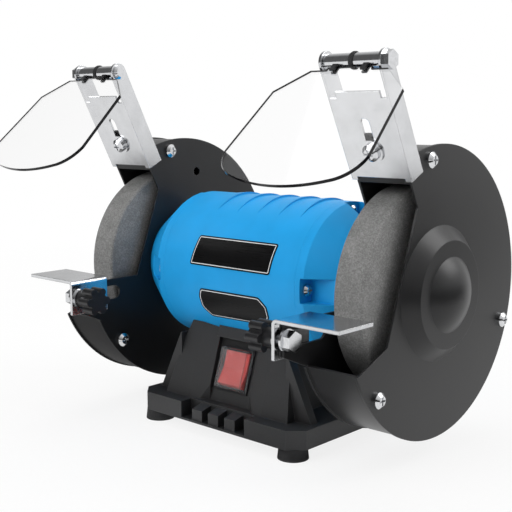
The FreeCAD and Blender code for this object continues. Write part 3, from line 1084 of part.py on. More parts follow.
def make_tool_rests():
    low = "rest_top - rest_leg"
    under = "rest_top - rest_thick"
    bend = "rest_top - rest_bend"
    angle = [("rest_in", low), ("rest_in", bend, "-rest_bend"), ("rest_in + rest_bend", "rest_top"),
             ("rest_outer_x", "rest_top"), ("rest_outer_x", under),
             ("rest_in + rest_bend", under, "rest_bend - rest_thick"), ("rest_in + rest_thick", bend),
             ("rest_in + rest_thick", low)]
    plate = prism("XZ_Plane", angle, "rest_front_y - rest_back_y",
                  ("0", "-(rest_front_y + rest_back_y) / 2", "0"))
    bolt_at = ("0", "-rest_bolt_y", "rest_bolt_z")
    hole = cylinder("rest_bolt_r + fit", "2 * rest_thick", ("rest_in - rest_thick / 2",) + bolt_at[1:],
                    lay="x")
    pair("tool_rest", cut(plate, [hole]))

    washer_in = "rest_in - rest_washer"
    washer_out = "guard_in + slide_gap"
    head_x = f"{washer_out} + rest_washer"
    bolt_start = "knob_x - knob_neck - knob_head + knob_cap + loose"
    shank = cylinder("rest_bolt_r", f"{head_x} - ({bolt_start}) + rest_head / 2", (bolt_start,) + bolt_at[1:],
                     lay="x")
    head = hexagon("rest_head_flat", "rest_head", (head_x,) + bolt_at[1:], None)
    solids = [fuse([shank, head])]
    hole = "rest_bolt_r + fit"
    for x in (washer_in, washer_out):
        end = f"{x} + rest_washer"
        solids.append(turned([(x, hole), (x, "rest_washer_r"), (end, "rest_washer_r"), (end, hole)], bolt_at))
    pair("rest_bolt", group(solids))

    star_x = "knob_x - knob_neck - knob_head"
    knob = [cylinder("knob_neck_r", "knob_neck + knob_head / 2",
                     ("knob_x - knob_neck - knob_head / 2",) + bolt_at[1:], lay="x"),
            cylinder("knob_core_r", "knob_head", (star_x,) + bolt_at[1:], lay="x")]
    for i in range(int(value("knob_lobes"))):
        angle = f"({i} * 360 / knob_lobes)"
        knob.append(cylinder("knob_lobe_r", "knob_head",
                             (star_x, f"-rest_bolt_y + knob_lobe_ring_r * cos{angle}",
                              f"rest_bolt_z + knob_lobe_ring_r * sin{angle}"), lay="x"))
    bore = cylinder("rest_bolt_r + running", "knob_neck + knob_head - knob_cap",
                    (f"{star_x} + knob_cap",) + bolt_at[1:], lay="x")
    pair("rest_knob", cut(fuse(knob), [bore]))


def write_parts():
    """Check every object, then write each piece to its own file."""
    doc.recompute()
    for item in doc.Objects:
        if "Invalid" in item.State or "Error" in item.State:
            raise RuntimeError(f"{item.Name} ({item.Label}) failed: {item.State}")
    for item in NODES:
        if item.Shape.isNull() or not item.Shape.isValid() or not item.Shape.Solids:
            raise RuntimeError(f"{item.Label} has no valid solid")
    os.makedirs("parts", exist_ok=True)
    for item in NODES:
        item.Shape.exportStep(f"parts/{item.Label}.step")
    print(len(NODES), "pieces written")


make_feet()
make_base()
make_bottom()
make_switch()
make_inside_base()
make_motor()
make_electrics()
make_guards()
make_covers()
make_wheels()
make_spark_guards()
make_eye_shields()
make_tool_rests()
write_parts()
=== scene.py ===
import json
from math import cos, radians, sin, sqrt, tau

import bmesh
import bpy
from mathutils import Matrix, Vector


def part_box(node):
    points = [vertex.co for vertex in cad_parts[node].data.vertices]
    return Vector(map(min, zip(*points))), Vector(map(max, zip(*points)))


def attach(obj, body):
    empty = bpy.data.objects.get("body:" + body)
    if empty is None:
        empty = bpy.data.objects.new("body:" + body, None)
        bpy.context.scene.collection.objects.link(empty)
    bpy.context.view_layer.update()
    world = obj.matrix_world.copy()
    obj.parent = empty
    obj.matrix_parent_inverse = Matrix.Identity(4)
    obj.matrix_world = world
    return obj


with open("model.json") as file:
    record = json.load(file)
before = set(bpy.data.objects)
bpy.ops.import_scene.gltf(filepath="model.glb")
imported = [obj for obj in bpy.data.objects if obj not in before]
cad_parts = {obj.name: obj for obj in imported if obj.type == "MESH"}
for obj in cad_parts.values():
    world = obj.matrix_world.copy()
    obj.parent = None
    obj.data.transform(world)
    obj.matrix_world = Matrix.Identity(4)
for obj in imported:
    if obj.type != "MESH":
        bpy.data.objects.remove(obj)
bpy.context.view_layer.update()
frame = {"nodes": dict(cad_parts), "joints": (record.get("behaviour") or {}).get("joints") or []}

bl_info = {
    "name": "Bench grinder finishes",
    "version": (1, 0, 0),
    "blender": (4, 5, 0),
    "location": "3D View > Sidebar > Grinder",
    "description": "Dresses the grinder's solids, adds its bare plates and sets up the studio",
    "category": "Object",
}

MM = 0.001
SIDES = ("left", "right")
SHAFT = Vector(next(j for j in frame["joints"] if j["name"] == "rotor_spin")["pos_m"])
SHELL_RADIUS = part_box("motor_shell")[1].y

# How far apart a wave texture draws its lines at a scale of 1, in metres: square ones and
# slanting ones.
WAVE_STEP = tau / 20
SLANT_STEP = tau / (10 * sqrt(3))

# Cosine between a face and its rounded edge where the paler edge line starts to show, and where
# it is full. The line is partly rubbed wear and partly a painted highlight.
EDGE_LINE_STARTS = 0.98
EDGE_LINE_FULL = 0.75

# Sockets of a Mix node that mixes colours.
SHARE, UNDER, OVER = 0, 6, 7


def linear(code):
    """An sRGB hex colour as linear red, green and blue."""
    parts = [int(code[at:at + 2], 16) / 255 for at in (0, 2, 4)]
    return [p / 12.92 if p <= 0.04045 else ((p + 0.055) / 1.055) ** 2.4 for p in parts]


def toned(colour, gain=1.0):
    """A colour made lighter or darker, with full cover."""
    return (*(min(1.0, part * gain) for part in colour), 1.0)


WHITE = toned(linear("FFFFFF"))


class GrinderColours(bpy.types.PropertyGroup):
    """Colours of the grinder's paints and plastics"""

    housing: bpy.props.FloatVectorProperty(
        name="Motor enamel", description="Enamel of the motor shell and its end shields",
        subtype="COLOR", min=0, max=1, default=linear("1A9EE2"))
    guard: bpy.props.FloatVectorProperty(
        name="Guard coat", description="Powder coat of the wheel guards and their covers",
        subtype="COLOR", min=0, max=1, default=linear("1B1B1C"))
    base: bpy.props.FloatVectorProperty(
        name="Base plastic", description="Moulded plastic of the base",
        subtype="COLOR", min=0, max=1, default=linear("343435"))
    rocker: bpy.props.FloatVectorProperty(
        name="Rocker", description="Plastic of the switch's rocker",
        subtype="COLOR", min=0, max=1, default=linear("D2332B"))
    rubber: bpy.props.FloatVectorProperty(
        name="Rubber", description="Rubber of the feet and the friction rings",
        subtype="COLOR", min=0, max=1, default=linear("2A2A2B"))
    black_plastic: bpy.props.FloatVectorProperty(
        name="Small plastics",
        description="Plastic of the knobs, the clips, the switch frame and the gland",
        subtype="COLOR", min=0, max=1, default=linear("1E1E20"))
    abrasive: bpy.props.FloatVectorProperty(
        name="Abrasive", description="Middle tone of the wheels' grit",
        subtype="COLOR", min=0, max=1, default=linear("7E7E7D"))
    zinc: bpy.props.FloatVectorProperty(
        name="Zinc plate", description="Plating of the brackets, the rests and the screws",
        subtype="COLOR", min=0, max=1, default=linear("D6D7D9"))
    steel: bpy.props.FloatVectorProperty(
        name="Steel", description="Bare turned steel of the shaft and the flanges",
        subtype="COLOR", min=0, max=1, default=linear("B3B2AF"))
    plate: bpy.props.FloatVectorProperty(
        name="Plates", description="Lacquer of the two bare plates",
        subtype="COLOR", min=0, max=1, default=linear("0D0D0E"))
    plate_line: bpy.props.FloatVectorProperty(
        name="Plate line", description="Bare metal line round each plate",
        subtype="COLOR", min=0, max=1, default=linear("E4E6E7"))


class GrinderSizes(bpy.types.PropertyGroup):
    """Sizes of what is added to the solids"""

    plate_thickness: bpy.props.FloatProperty(
        name="Plate thickness", description="Thickness of the bare plates",
        subtype="DISTANCE", unit="LENGTH", default=0.4 * MM)
    plate_corner: bpy.props.FloatProperty(
        name="Plate corner", description="Rounding of a plate's corners",
        subtype="DISTANCE", unit="LENGTH", default=1.5 * MM)
    line_inset: bpy.props.FloatProperty(
        name="Line inset", description="From a plate's edge to its line",
        subtype="DISTANCE", unit="LENGTH", default=0.9 * MM)
    line_width: bpy.props.FloatProperty(
        name="Line width", description="Width of the line round a plate",
        subtype="DISTANCE", unit="LENGTH", default=0.5 * MM)
    # The paler edge line is partly rubbed wear and partly a painted highlight.
    edge_wear_and_highlight: bpy.props.FloatProperty(
        name="Edge wear", description="Width of the paler line on rubbed edges",
        subtype="DISTANCE", unit="LENGTH", default=0.5 * MM)
    edge_round: bpy.props.FloatProperty(
        name="Edge rounding", description="How far pressed and moulded edges are broken",
        subtype="DISTANCE", unit="LENGTH", default=0.6 * MM)


def fill(tree, made, inputs):
    """Gives a node's inputs a value each, or another node's output to read."""
    for socket, source in inputs.items():
        if isinstance(source, bpy.types.Node):
            source = next(output for output in source.outputs if output.enabled)
        if isinstance(source, bpy.types.NodeSocket):
            tree.links.new(source, made.inputs[socket])
        else:
            made.inputs[socket].default_value = source


def add(tree, kind, inputs=None, stops=(), **settings):
    """Adds a node with its settings, its inputs and, for a colour ramp, its stops."""
    made = tree.nodes.new("ShaderNode" + kind)
    for name, setting in settings.items():
        setattr(made, name, setting)
    for number, (position, colour) in enumerate(stops):
        ramp = made.color_ramp.elements
        stop = ramp[number] if number < len(ramp) else ramp.new(position)
        stop.position = position
        stop.color = colour
    fill(tree, made, inputs or {})
    return made


def new_finish(name):
    """A new material, its node tree, its shader and the coordinates that its patterns read."""
    made = bpy.data.materials.new(name)
    made.use_nodes = True
    tree = made.node_tree
    where = add(tree, "TexCoord").outputs["Object"]
    return made, tree, tree.nodes["Principled BSDF"], where


def worn_and_highlit_edges(tree, coat, bare, radius):
    """A coat's colour that turns paler along sharp edges: rubbed wear and a painted highlight."""
    rounded = add(tree, "Bevel", {"Radius": radius})
    sharp = add(tree, "NewGeometry")
    alike = add(tree, "VectorMath", {0: rounded, 1: sharp.outputs["Normal"]},
                operation="DOT_PRODUCT")
    # Share of the paler edge line, which is partly wear and partly a painted highlight.
    wear = add(tree, "MapRange", {
        "Value": alike.outputs["Value"], "From Min": EDGE_LINE_STARTS, "From Max": EDGE_LINE_FULL})
    return add(tree, "Mix", {SHARE: wear, UNDER: coat, OVER: bare}, data_type="RGBA")


def powder_coat(colours, sizes):
    # Baked powder coat on pressed steel: black and half glossy, with a soft orange peel of 1.4 mm
    # that breaks up the highlights, a slow drift over 30 mm, and edges painted a paler line, partly
    # rubbed wear and partly a painted highlight.
    made, tree, shader, where = new_finish("powder coat, black")
    peel = add(tree, "TexNoise", {"Vector": where, "Scale": 1 / (1.4 * MM), "Detail": 2.0})
    drift = add(tree, "TexNoise", {"Vector": where, "Scale": 1 / (30 * MM), "Detail": 3.0})
    edge = add(tree, "Bevel", {"Radius": sizes.edge_round})
    coat = add(tree, "ValToRGB", {"Fac": drift}, stops=(
        (0.3, toned(colours.guard, 0.88)), (0.7, toned(colours.guard, 1.12))))
    fill(tree, shader, {
        # Edges take five times the coat's tone: rubbed wear and a painted highlight.
        "Base Color": worn_and_highlit_edges(tree, coat, toned(colours.guard, 5.0), sizes.edge_wear_and_highlight),
        "Roughness": add(tree, "MapRange", {"Value": drift, "To Min": 0.3, "To Max": 0.4}),
        "Specular IOR Level": 0.4,
        "Normal": add(tree, "Bump", {
            "Height": peel, "Strength": 0.35, "Distance": 0.02 * MM, "Normal": edge}),
    })
    return made


def moulded_plastic(colours, sizes):
    # Moulded ABS with a spark-eroded grain: nearly black, matt, with a fine even sparkle and a
    # shine that drifts over 40 mm. Its edges are paler, partly polished by handling and partly a
    # painted highlight, and corners with walls within 20 mm get a painted shade, a deeper black.
    # The real grain is about 0.15 mm and is drawn at 0.6 mm so that it shows.
    made, tree, shader, where = new_finish("moulded ABS, black grain")
    grain = add(tree, "TexNoise", {"Vector": where, "Scale": 1 / (0.6 * MM), "Detail": 3.0})
    drift = add(tree, "TexNoise", {"Vector": where, "Scale": 1 / (40 * MM), "Detail": 2.0})
    edge = add(tree, "Bevel", {"Radius": sizes.edge_round})
    skin = add(tree, "ValToRGB", {"Fac": grain}, stops=(
        (0.25, toned(colours.base, 0.85)), (0.75, toned(colours.base, 1.15))))
    # Painted shade: ambient occlusion within 20 mm darkens corners and recesses to 0.4 of the tone.
    reach = add(tree, "AmbientOcclusion", {"Distance": 20 * MM}, samples=8, only_local=True)
    painted_shade_mask = add(tree, "MapRange", {
        "Value": reach.outputs["AO"], "From Min": 0.4, "From Max": 0.95})
    deep = add(tree, "Mix", {SHARE: painted_shade_mask, UNDER: toned(colours.base, 0.4), OVER: skin},
               data_type="RGBA")
    fill(tree, shader, {
        # The paler edge line here is partly handling and partly a painted highlight.
        "Base Color": worn_and_highlit_edges(tree, deep, toned(colours.base, 3.0), sizes.edge_wear_and_highlight),
        "Roughness": add(tree, "MapRange", {"Value": drift, "To Min": 0.46, "To Max": 0.58}),
        "Normal": add(tree, "Bump", {
            "Height": grain, "Strength": 0.4, "Distance": 0.03 * MM, "Normal": edge}),
    })
    return made


def blue_enamel(colours, sizes):
    # Stoved enamel on a die-cast housing: clear blue, half glossy, with an orange peel of 1.2 mm
    # over the casting's slow waves of 22 mm, and paler along its edges, partly thinner enamel and
    # partly a painted highlight.
    made, tree, shader, where = new_finish("stoved enamel, blue")
    peel = add(tree, "TexNoise", {"Vector": where, "Scale": 1 / (1.2 * MM), "Detail": 2.0})
    wave = add(tree, "TexNoise", {"Vector": where, "Scale": 1 / (22 * MM), "Detail": 2.0})
    edge = add(tree, "Bevel", {"Radius": sizes.edge_round})
    cast = add(tree, "Bump", {
        "Height": wave, "Strength": 0.3, "Distance": 0.25 * MM, "Normal": edge})
    coat = add(tree, "ValToRGB", {"Fac": wave}, stops=(
        (0.3, toned(colours.housing, 0.95)), (0.7, toned(colours.housing, 1.04))))
    fill(tree, shader, {
        # Paler edges: thinner enamel and a painted highlight.
        "Base Color": worn_and_highlit_edges(tree, coat, toned(colours.housing, 1.25), sizes.edge_wear_and_highlight),
        "Roughness": add(tree, "MapRange", {"Value": wave, "To Min": 0.36, "To Max": 0.46}),
        "Specular IOR Level": 0.25,
        "Normal": add(tree, "Bump", {
            "Height": peel, "Strength": 0.3, "Distance": 0.02 * MM, "Normal": cast}),
    })
    return made


def vitrified_abrasive(colours):
    # Vitrified aluminium oxide, 36 grit: grey grains of about 0.5 mm, each with its own tone, in a
    # rough dull skin that is dusty in patches of 9 mm. The grains are drawn at 0.7 mm so that they
    # show.
    made, tree, shader, where = new_finish("vitrified aluminium oxide")
    grit = add(tree, "TexVoronoi", {"Vector": where, "Scale": 1 / (0.7 * MM)})
    tone = add(tree, "SeparateColor", {"Color": grit.outputs["Color"]})
    dust = add(tree, "TexNoise", {"Vector": where, "Scale": 1 / (9 * MM), "Detail": 4.0})
    worn = add(tree, "Math", {0: tone, 1: dust}, operation="ADD")
    halved = add(tree, "MapRange", {"Value": worn, "From Max": 2.0})
    fill(tree, shader, {
        "Base Color": add(tree, "ValToRGB", {"Fac": halved}, stops=(
            (0.2, toned(colours.abrasive, 0.72)), (0.5, toned(colours.abrasive)),
            (0.8, toned(colours.abrasive, 1.4)))),
        "Roughness": add(tree, "MapRange", {"Value": tone, "To Min": 0.75, "To Max": 0.95}),
        "Normal": add(tree, "Bump", {
            "Height": grit.outputs["Distance"], "Strength": 0.6, "Distance": 0.2 * MM}),
    })
    return made


def zinc_plate(name, colours, sizes):
    # Bright zinc on pressed steel strip: a clear mirror with faint rolled streaks along the strip,
    # about 0.2 mm wide and drawn at 0.8 mm so that they show, and cloudy patches of 12 mm where the
    # plating is duller.
    made, tree, shader, where = new_finish("bright zinc on steel, " + name)
    along = add(tree, "Mapping", {"Vector": where, "Scale": (1.0, 0.05, 0.05)})
    streak = add(tree, "TexNoise", {"Vector": along, "Scale": 1 / (0.8 * MM), "Detail": 2.0})
    cloud = add(tree, "TexNoise", {"Vector": where, "Scale": 1 / (12 * MM), "Detail": 3.0})
    edge = add(tree, "Bevel", {"Radius": sizes.edge_round})
    fill(tree, shader, {
        "Base Color": add(tree, "ValToRGB", {"Fac": cloud}, stops=(
            (0.3, toned(colours.zinc, 0.9)), (0.7, toned(colours.zinc, 1.04)))),
        "Metallic": 1.0,
        "Roughness": add(tree, "MapRange", {"Value": cloud, "To Min": 0.1, "To Max": 0.24}),
        "Normal": add(tree, "Bump", {
            "Height": streak, "Strength": 0.12, "Distance": 0.02 * MM, "Normal": edge}),
    })
    return made


def bright_plate(name, colours):
    # Nickel-bright screws, rods and sleeves: small mirrors with turning marks of about 0.1 mm,
    # drawn at 0.5 mm so that they show.
    made, tree, shader, where = new_finish("bright nickel on steel, " + name)
    along = add(tree, "Mapping", {"Vector": where, "Scale": (1.0, 0.2, 0.2)})
    marks = add(tree, "TexNoise", {"Vector": along, "Scale": 1 / (0.5 * MM), "Detail": 2.0})
    fill(tree, shader, {
        "Base Color": add(tree, "ValToRGB", {"Fac": marks}, stops=(
            (0.3, toned(colours.zinc, 0.92)), (0.7, toned(colours.zinc, 1.06)))),
        "Metallic": 1.0,
        "Roughness": add(tree, "MapRange", {"Value": marks, "To Min": 0.08, "To Max": 0.2}),
        "Normal": add(tree, "Bump", {"Height": marks, "Strength": 0.1, "Distance": 0.01 * MM}),
    })
    return made


def turned_steel(colours):
    # Bare steel turned on a lathe: grey, tarnished in patches of 6 mm, with rings round the shaft
    # from the tool, 0.4 mm apart and drawn at 0.8 mm so that they show.
    made, tree, shader, where = new_finish("turned steel")
    centred = add(tree, "Mapping", {"Vector": where, "Location": (0, 0, -SHAFT.z)})
    rings = add(tree, "TexWave", {
        "Vector": centred, "Scale": WAVE_STEP / (0.8 * MM), "Distortion": 0.4, "Detail": 1.0},
        wave_type="RINGS", rings_direction="X")
    tarnish = add(tree, "TexNoise", {"Vector": where, "Scale": 1 / (6 * MM), "Detail": 4.0})
    fill(tree, shader, {
        "Base Color": add(tree, "ValToRGB", {"Fac": tarnish}, stops=(
            (0.3, toned(colours.steel, 0.7)), (0.7, toned(colours.steel, 1.05)))),
        "Metallic": 1.0,
        "Roughness": add(tree, "MapRange", {"Value": tarnish, "To Min": 0.25, "To Max": 0.42}),
        "Normal": add(tree, "Bump", {
            "Height": rings.outputs["Fac"], "Strength": 0.25, "Distance": 0.02 * MM}),
    })
    return made


def laminated_steel(colours):
    # Stacked motor laminations: dark blued steel in 0.5 mm sheets, drawn at 1 mm so that they show.
    made, tree, shader, where = new_finish("steel laminations")
    sheets = add(tree, "TexWave", {
        "Vector": where, "Scale": WAVE_STEP / (1.0 * MM), "Distortion": 0.2},
        wave_type="BANDS", bands_direction="X")
    fill(tree, shader, {
        "Base Color": add(tree, "ValToRGB", {"Fac": sheets.outputs["Fac"]}, stops=(
            (0.1, toned(colours.steel, 0.12)), (0.6, toned(colours.steel, 0.4)))),
        "Metallic": 0.9,
        "Roughness": add(tree, "MapRange", {
            "Value": sheets.outputs["Fac"], "To Min": 0.6, "To Max": 0.4}),
        "Normal": add(tree, "Bump", {
            "Height": sheets.outputs["Fac"], "Strength": 0.4, "Distance": 0.1 * MM}),
    })
    return made


def enamelled_copper():
    # Varnished copper wire, 0.7 mm, drawn at 1.4 mm so that it shows: warm red-brown strands with a
    # wet shine.
    made, tree, shader, where = new_finish("enamelled copper wire")
    strands = add(tree, "TexWave", {
        "Vector": where, "Scale": SLANT_STEP / (1.4 * MM), "Distortion": 1.5, "Detail": 1.0},
        wave_type="BANDS", bands_direction="DIAGONAL")
    fill(tree, shader, {
        "Base Color": add(tree, "ValToRGB", {"Fac": strands.outputs["Fac"]}, stops=(
            (0.1, toned(linear("5A2412"))), (0.8, toned(linear("B4602F"))))),
        "Metallic": 0.8,
        "Roughness": add(tree, "MapRange", {
            "Value": strands.outputs["Fac"], "To Min": 0.45, "To Max": 0.28}),
        "Normal": add(tree, "Bump", {
            "Height": strands.outputs["Fac"], "Strength": 0.7, "Distance": 0.25 * MM}),
    })
    return made


def drawn_aluminium():
    # The capacitor's drawn aluminium can: pale grey, satin, with lines along the draw of about
    # 0.2 mm, drawn at 0.6 mm so that they show.
    made, tree, shader, where = new_finish("drawn aluminium")
    along = add(tree, "Mapping", {"Vector": where, "Scale": (0.04, 1.0, 1.0)})
    lines = add(tree, "TexNoise", {"Vector": along, "Scale": 1 / (0.6 * MM), "Detail": 3.0})
    fill(tree, shader, {
        "Base Color": add(tree, "ValToRGB", {"Fac": lines}, stops=(
            (0.3, toned(linear("B9BABC"), 0.9)), (0.7, toned(linear("C9CACC"))))),
        "Metallic": 1.0,
        "Roughness": add(tree, "MapRange", {"Value": lines, "To Min": 0.3, "To Max": 0.45}),
        "Normal": add(tree, "Bump", {"Height": lines, "Strength": 0.2, "Distance": 0.02 * MM}),
    })
    return made


def blotting_paper():
    # Thick grey blotting paper between wheel and flange: matt, with tangled fibres of 2.5 mm.
    made, tree, shader, where = new_finish("blotting paper")
    fibres = add(tree, "TexNoise", {
        "Vector": where, "Scale": 1 / (2.5 * MM), "Detail": 6.0, "Distortion": 1.5})
    fill(tree, shader, {
        "Base Color": add(tree, "ValToRGB", {"Fac": fibres}, stops=(
            (0.3, toned(linear("8C8A84"))), (0.7, toned(linear("B2B0A8"))))),
        "Roughness": add(tree, "MapRange", {"Value": fibres, "To Min": 0.8, "To Max": 0.95}),
        "Normal": add(tree, "Bump", {"Height": fibres, "Strength": 0.4, "Distance": 0.08 * MM}),
    })
    return made


def black_rubber(name, colours):
    # Moulded rubber: dull black with a dusty bloom in patches of 7 mm and a skin that is slightly
    # uneven, at 0.8 mm.
    made, tree, shader, where = new_finish("moulded black rubber, " + name)
    bloom = add(tree, "TexNoise", {"Vector": where, "Scale": 1 / (7 * MM), "Detail": 5.0})
    skin = add(tree, "TexNoise", {"Vector": where, "Scale": 1 / (0.8 * MM), "Detail": 2.0})
    fill(tree, shader, {
        "Base Color": add(tree, "ValToRGB", {"Fac": bloom}, stops=(
            (0.3, toned(colours.rubber, 0.85)), (0.75, toned(colours.rubber, 1.5)))),
        "Roughness": add(tree, "MapRange", {"Value": bloom, "To Min": 0.65, "To Max": 0.85}),
        "Normal": add(tree, "Bump", {"Height": skin, "Strength": 0.3, "Distance": 0.04 * MM}),
    })
    return made


def small_plastic(name, colours, sizes):
    # Glass-filled nylon of knobs and clips: black, with a satin skin whose fibres of about 0.2 mm
    # are drawn at 0.6 mm so that they show, and a faint flow pattern of 4 mm.
    made, tree, shader, where = new_finish("glass-filled black nylon, " + name)
    flow = add(tree, "TexNoise", {
        "Vector": where, "Scale": 1 / (4 * MM), "Detail": 4.0, "Distortion": 0.8})
    skin = add(tree, "TexNoise", {"Vector": where, "Scale": 1 / (0.6 * MM), "Detail": 2.0})
    edge = add(tree, "Bevel", {"Radius": sizes.edge_round})
    fill(tree, shader, {
        "Base Color": add(tree, "ValToRGB", {"Fac": flow}, stops=(
            (0.3, toned(colours.black_plastic, 0.85)), (0.7, toned(colours.black_plastic, 1.2)))),
        "Roughness": add(tree, "MapRange", {"Value": flow, "To Min": 0.3, "To Max": 0.42}),
        "Normal": add(tree, "Bump", {
            "Height": skin, "Strength": 0.2, "Distance": 0.02 * MM, "Normal": edge}),
    })
    return made


def red_plastic(colours, sizes):
    # Polished red nylon of the rocker: deep and glossy, with a slight swirl of 5 mm from the mould.
    made, tree, shader, where = new_finish("polished nylon, red")
    swirl = add(tree, "TexNoise", {
        "Vector": where, "Scale": 1 / (5 * MM), "Detail": 3.0, "Distortion": 0.6})
    edge = add(tree, "Bevel", {"Radius": sizes.edge_round})
    fill(tree, shader, {
        "Base Color": add(tree, "ValToRGB", {"Fac": swirl}, stops=(
            (0.3, toned(colours.rocker, 0.92)), (0.7, toned(colours.rocker, 1.06)))),
        "Roughness": add(tree, "MapRange", {"Value": swirl, "To Min": 0.22, "To Max": 0.3}),
        "Normal": add(tree, "Bump", {
            "Height": swirl, "Strength": 0.1, "Distance": 0.05 * MM, "Normal": edge}),
    })
    return made


def clear_cover():
    # The switch's soft PVC cover: clear with a slight milkiness, a wet shine and hazy patches of
    # 6 mm. Its IOR is below the usual 1.53, so that the rocker shows through with little bending.
    made, tree, shader, where = new_finish("clear soft PVC")
    haze = add(tree, "TexNoise", {"Vector": where, "Scale": 1 / (6 * MM), "Detail": 3.0})
    fill(tree, shader, {
        "Base Color": add(tree, "ValToRGB", {"Fac": haze}, stops=(
            (0.3, toned(linear("F0F1F2"))), (0.7, toned(linear("FAFAFA"))))),
        "Transmission Weight": add(tree, "MapRange", {
            "Value": haze, "To Min": 0.97, "To Max": 0.93}),
        "IOR": 1.3,
        "Roughness": add(tree, "MapRange", {"Value": haze, "To Min": 0.04, "To Max": 0.1}),
        "Normal": add(tree, "Bump", {"Height": haze, "Strength": 0.1, "Distance": 0.1 * MM}),
    })
    return made


def clear_shield(side):
    # Clear polycarbonate sheet: all but invisible on its faces, with smears of 18 mm. Its sawn
    # edges are painted dark and opaque, a painted shade for the way they bend the light. An edge is
    # told from the faces by the way it points. Its IOR is below the usual 1.58, so that the faces
    # mirror little.
    made, tree, shader, where = new_finish("clear polycarbonate, " + side)
    sheet = frame["nodes"]["eye_shield_" + side].data
    broad = max(sheet.polygons, key=lambda polygon: polygon.area).normal
    facing = add(tree, "VectorMath", {
        0: tree.nodes["Texture Coordinate"].outputs["Normal"], 1: broad}, operation="DOT_PRODUCT")
    either_way = add(tree, "Math", {0: facing.outputs["Value"]}, operation="ABSOLUTE")
    face = add(tree, "MapRange", {"Value": either_way, "From Min": 0.5, "From Max": 0.8})
    smears = add(tree, "TexNoise", {"Vector": where, "Scale": 1 / (18 * MM), "Detail": 4.0})
    fill(tree, shader, {
        # Painted shade on the edges: dark where the sheet does not face its broad way.
        "Base Color": add(tree, "ValToRGB", {"Fac": face}, stops=(
            (0.0, toned(linear("161618"))), (1.0, WHITE))),
        "Transmission Weight": face,
        "IOR": 1.25,
        "Roughness": add(tree, "MapRange", {"Value": smears, "To Min": 0.01, "To Max": 0.05}),
        "Normal": add(tree, "Bump", {"Height": smears, "Strength": 0.03, "Distance": 0.05 * MM}),
    })
    return made


def lacquered_foil(name, colour, roughness):
    # Lacquered aluminium foil of the plates: flat and glossy, with a faint brushed grain across of
    # about 0.1 mm, drawn at 0.5 mm so that it shows.
    made, tree, shader, where = new_finish("lacquered foil, " + name)
    along = add(tree, "Mapping", {"Vector": where, "Scale": (0.03, 1.0, 1.0)})
    brush = add(tree, "TexNoise", {"Vector": along, "Scale": 1 / (0.5 * MM), "Detail": 2.0})
    fill(tree, shader, {
        "Base Color": add(tree, "ValToRGB", {"Fac": brush}, stops=(
            (0.3, toned(colour, 0.88)), (0.7, toned(colour, 1.12)))),
        "Roughness": add(tree, "MapRange", {
            "Value": brush, "To Min": roughness, "To Max": roughness + 0.1}),
        "Specular IOR Level": 0.15,
        "Normal": add(tree, "Bump", {"Height": brush, "Strength": 0.05, "Distance": 0.01 * MM}),
    })
    return made


def new_piece(scene, name, shape, *finishes):
    """A new object in the scene, with its finishes, of a shape that is then freed."""
    mesh = bpy.data.meshes.new(name)
    for finish in finishes:
        mesh.materials.append(finish)
    shape.to_mesh(mesh)
    shape.free()
    piece = bpy.data.objects.new(name, mesh)
    scene.collection.objects.link(piece)
    return piece


def dress(finish, *names):
    """Gives CAD nodes a finish in place of their plain colour."""
    for name in names:
        solid = frame["nodes"][name]
        solid.data.materials.clear()
        solid.data.materials.append(finish)


def chosen(context):
    """The scene's colours and sizes."""
    return context.scene.grinder_colours, context.scene.grinder_sizes


def both(*names):
    """The left and the right node of each name."""
    return [f"{name}_{side}" for name in names for side in SIDES]


class OBJECT_OT_grinder_base(bpy.types.Operator):
    """Dresses the moulded base, its bottom plate, its gland and the capacitor inside it"""

    bl_idname = "object.grinder_base"
    bl_label = "Base"

    def execute(self, context):
        colours, sizes = chosen(context)
        dress(moulded_plastic(colours, sizes), "base_housing")
        dress(zinc_plate("bottom plate", colours, sizes), "bottom_plate")
        dress(small_plastic("gland", colours, sizes), "cable_gland")
        dress(drawn_aluminium(), "capacitor")
        return {"FINISHED"}


class OBJECT_OT_grinder_feet(bpy.types.Operator):
    """Dresses the four rubber feet"""

    bl_idname = "object.grinder_feet"
    bl_label = "Feet"

    def execute(self, context):
        dress(black_rubber("feet", context.scene.grinder_colours), *both("foot_front", "foot_rear"))
        return {"FINISHED"}


class OBJECT_OT_grinder_switch(bpy.types.Operator):
    """Dresses the switch's frame, its rocker and its soft clear cover"""

    bl_idname = "object.grinder_switch"
    bl_label = "Switch"

    def execute(self, context):
        colours, sizes = chosen(context)
        dress(small_plastic("switch", colours, sizes), "switch_frame")
        dress(red_plastic(colours, sizes), "switch_rocker")
        dress(clear_cover(), "switch_cap")
        return {"FINISHED"}


class OBJECT_OT_grinder_motor(bpy.types.Operator):
    """Dresses the motor's shell and end shields, and what is inside them"""

    bl_idname = "object.grinder_motor"
    bl_label = "Motor"

    def execute(self, context):
        colours, sizes = chosen(context)
        dress(blue_enamel(colours, sizes), "motor_shell", *both("end_shield"))
        dress(laminated_steel(colours), "stator_core", "rotor_core")
        dress(enamelled_copper(), "stator_windings")
        return {"FINISHED"}


